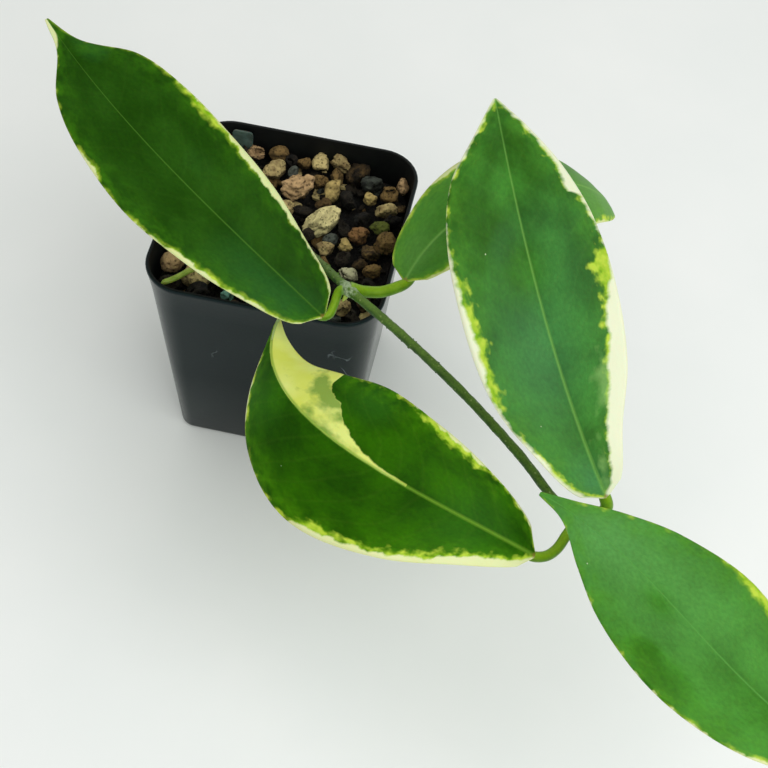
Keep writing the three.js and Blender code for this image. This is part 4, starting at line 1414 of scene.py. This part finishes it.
def blade(name, shape):
    """A grid laid over the leaf's middle surface and given its thickness. Its rows lie closer
    towards both ends, and its columns towards the midrib."""
    clear_selection()
    bpy.ops.mesh.primitive_grid_add(x_subdivisions=150, y_subdivisions=52, size=2)
    sheet = new_piece(name)
    grid = points_of(sheet)
    run = (grid[:, 0] + 1) / 2
    s = run - 0.11 * np.sin(2 * math.pi * run)
    side = -grid[:, 1]
    v = np.sign(side) * np.abs(side) ** 1.35
    right = v > 0

    fine = np.linspace(0, 1, 400)
    spine = rib_frame(shape, fine)[0]
    along = np.interp(s, fine, run_along(spine))
    point, forward, up, across = rib_frame(shape, s)
    left_half, right_half = (half_width(values, s) for values in shape["halves"])
    half = np.where(right, right_half, left_half)
    half *= np.sqrt(np.clip(s / 0.03, 0, 1))
    off = half * np.abs(v)

    left_fold, right_fold = (
        b * (1 - s) * (1 - 2 * s) + 4 * m * s * (1 - s) + t * s * (2 * s - 1)
        for b, m, t in shape["folds"]
    )
    slope = np.radians(np.where(right, right_fold, left_fold) + 8 * (1 - np.abs(v)))
    hand = np.sign(v)[:, None]
    outward = across * hand * np.cos(slope)[:, None] + up * np.sin(slope)[:, None]
    normal = up * np.cos(slope)[:, None] - across * hand * np.sin(slope)[:, None]

    # Fine form: a sunk midrib, a soft swell between side veins and a margin that is not quite flat.
    # The margin's waves start elsewhere on each leaf.
    phase = len(name) + sum(map(ord, name)) % 7
    groove = -BLADE["groove"] * np.exp(-((off / BLADE["groove_width"]) ** 2))
    swell = 0.05 * np.cos((along - 0.6 * off) * 2 * math.pi / VEIN_GAP)
    swell *= np.sin(np.pi * np.clip(np.abs(v), 0, 1))
    wave = np.sin(along / 8 + phase + 2 * right) + 0.6 * np.sin(along / 4.1 + 2 * phase + right)
    height = groove + swell + 0.18 * wave * np.abs(v) ** 3 * np.clip((1 - s) / 0.15, 0, 1)
    places = point + outward * off[:, None] + normal * height[:, None]
    set_points(sheet, places * MM)

    # Markings: how many millimetres inside each zone a point lies, below zero outside it.
    edge = half - off
    zones = []
    for zone in ("cream", "lime"):
        on_left, on_right = (np.interp(along, *zip(*points)) for points in shape[zone])
        zones.append(np.where(right, on_right, on_left) - edge - 0.35)
    cream, lime = zones
    off_rib = off * np.sign(v)
    lemon = np.full_like(off, NO_MARK)
    if "lemon_top" in shape:
        top = np.interp(along, *zip(*shape["lemon_top"]))
        lemon = np.where(along > 40, np.minimum(top - off_rib, off_rib + 0.25), NO_MARK)
        lemon = np.where(along > 80, np.where(off_rib > -0.3, 3, NO_MARK), lemon)
    muted = np.full_like(off, NO_MARK)
    for oval in shape.get("muted", ()):
        muted = np.maximum(muted, spot(along, off_rib, *oval))
    # Painted sheen and shade: each patch lightens the green, or below zero darkens it.
    painted_sheen_and_shade = np.zeros_like(off)
    for centre_along, centre_across, size, amount in shape["painted_sheen_and_shade"]:
        away = ((along - centre_along) ** 2 + 2 * (off_rib - centre_across) ** 2) / size**2
        painted_sheen_and_shade += amount * np.exp(-away)
    store(sheet, "blade_mm", np.stack([along, off_rib, edge], 1))
    store(sheet, "marking_mm", np.stack([cream, lime, lemon], 1))
    store(sheet, "tone", np.stack([painted_sheen_and_shade, muted, np.clip(off / 4, 0.1, 1)], 1))
    group = sheet.vertex_groups.new(name="flesh")
    for index, weight in enumerate(1 - v**2):
        group.add([index], float(weight), "REPLACE")
    coat(sheet, SKINS[name], UNDERSIDE)
    apply_modifier(
        sheet,
        "SOLIDIFY",
        thickness=BLADE["thickness"] * MM,
        offset=0,
        vertex_group="flesh",
        thickness_vertex_group=BLADE["margin_share"],
        material_offset=1,
    )
    smooth(sheet)
    return sheet


def leaf(name):
    """A blade with its petiole, which is flared at the node and tapers where it passes under the
    blade, and with the midrib's ridge."""
    shape = LEAVES[name]
    sheet = blade(name, shape)
    places, _, up, _ = rib_frame(shape, np.array([0.005, 0.06]))
    under = places - up * shape["petiole_radius"] * np.array([[0.8], [0.95]])
    path = smooth_path([*shape["petiole"], *under], 0.7)
    run = run_along(path)
    left = run[-1] - run
    flare = 0.35 * np.exp(-((run / 2.5) ** 2))
    taper = 0.5 * np.clip(1 - left / 8, 0, 1)
    radii = shape["petiole_radius"] * (1 + flare - taper)
    stalk = tube(name + "_petiole", path, radii, PETIOLE)
    apart = np.linalg.norm(points_of(stalk) / MM - np.array(path[0]), axis=1)
    store(stalk, "from_node_mm", apart)
    # The midrib stands out below the blade and fades towards the tip.
    s = np.linspace(0.02, 0.95, 90)
    point, _, up, _ = rib_frame(shape, s)
    size = lerp(1.25, 0.3, s**0.6)
    below = BLADE["thickness"] / 2 + 0.35 * size
    rib = tube(name + "_rib", point - up * below[:, None], size * 0.8, PETIOLE, 10)
    store(rib, "from_node_mm", np.full(len(rib.data.vertices), 50))
    whole = join([sheet, stalk, rib], name + "_grown")
    stands_for(whole, name)


camera()
floor()
studio()
pot()
filling()
chance = seeded(MIX["seed"])
stones(chance)
crumbs(chance)
vine()
shoot()
label()
for leaf_name in LEAVES:
    leaf(leaf_name)
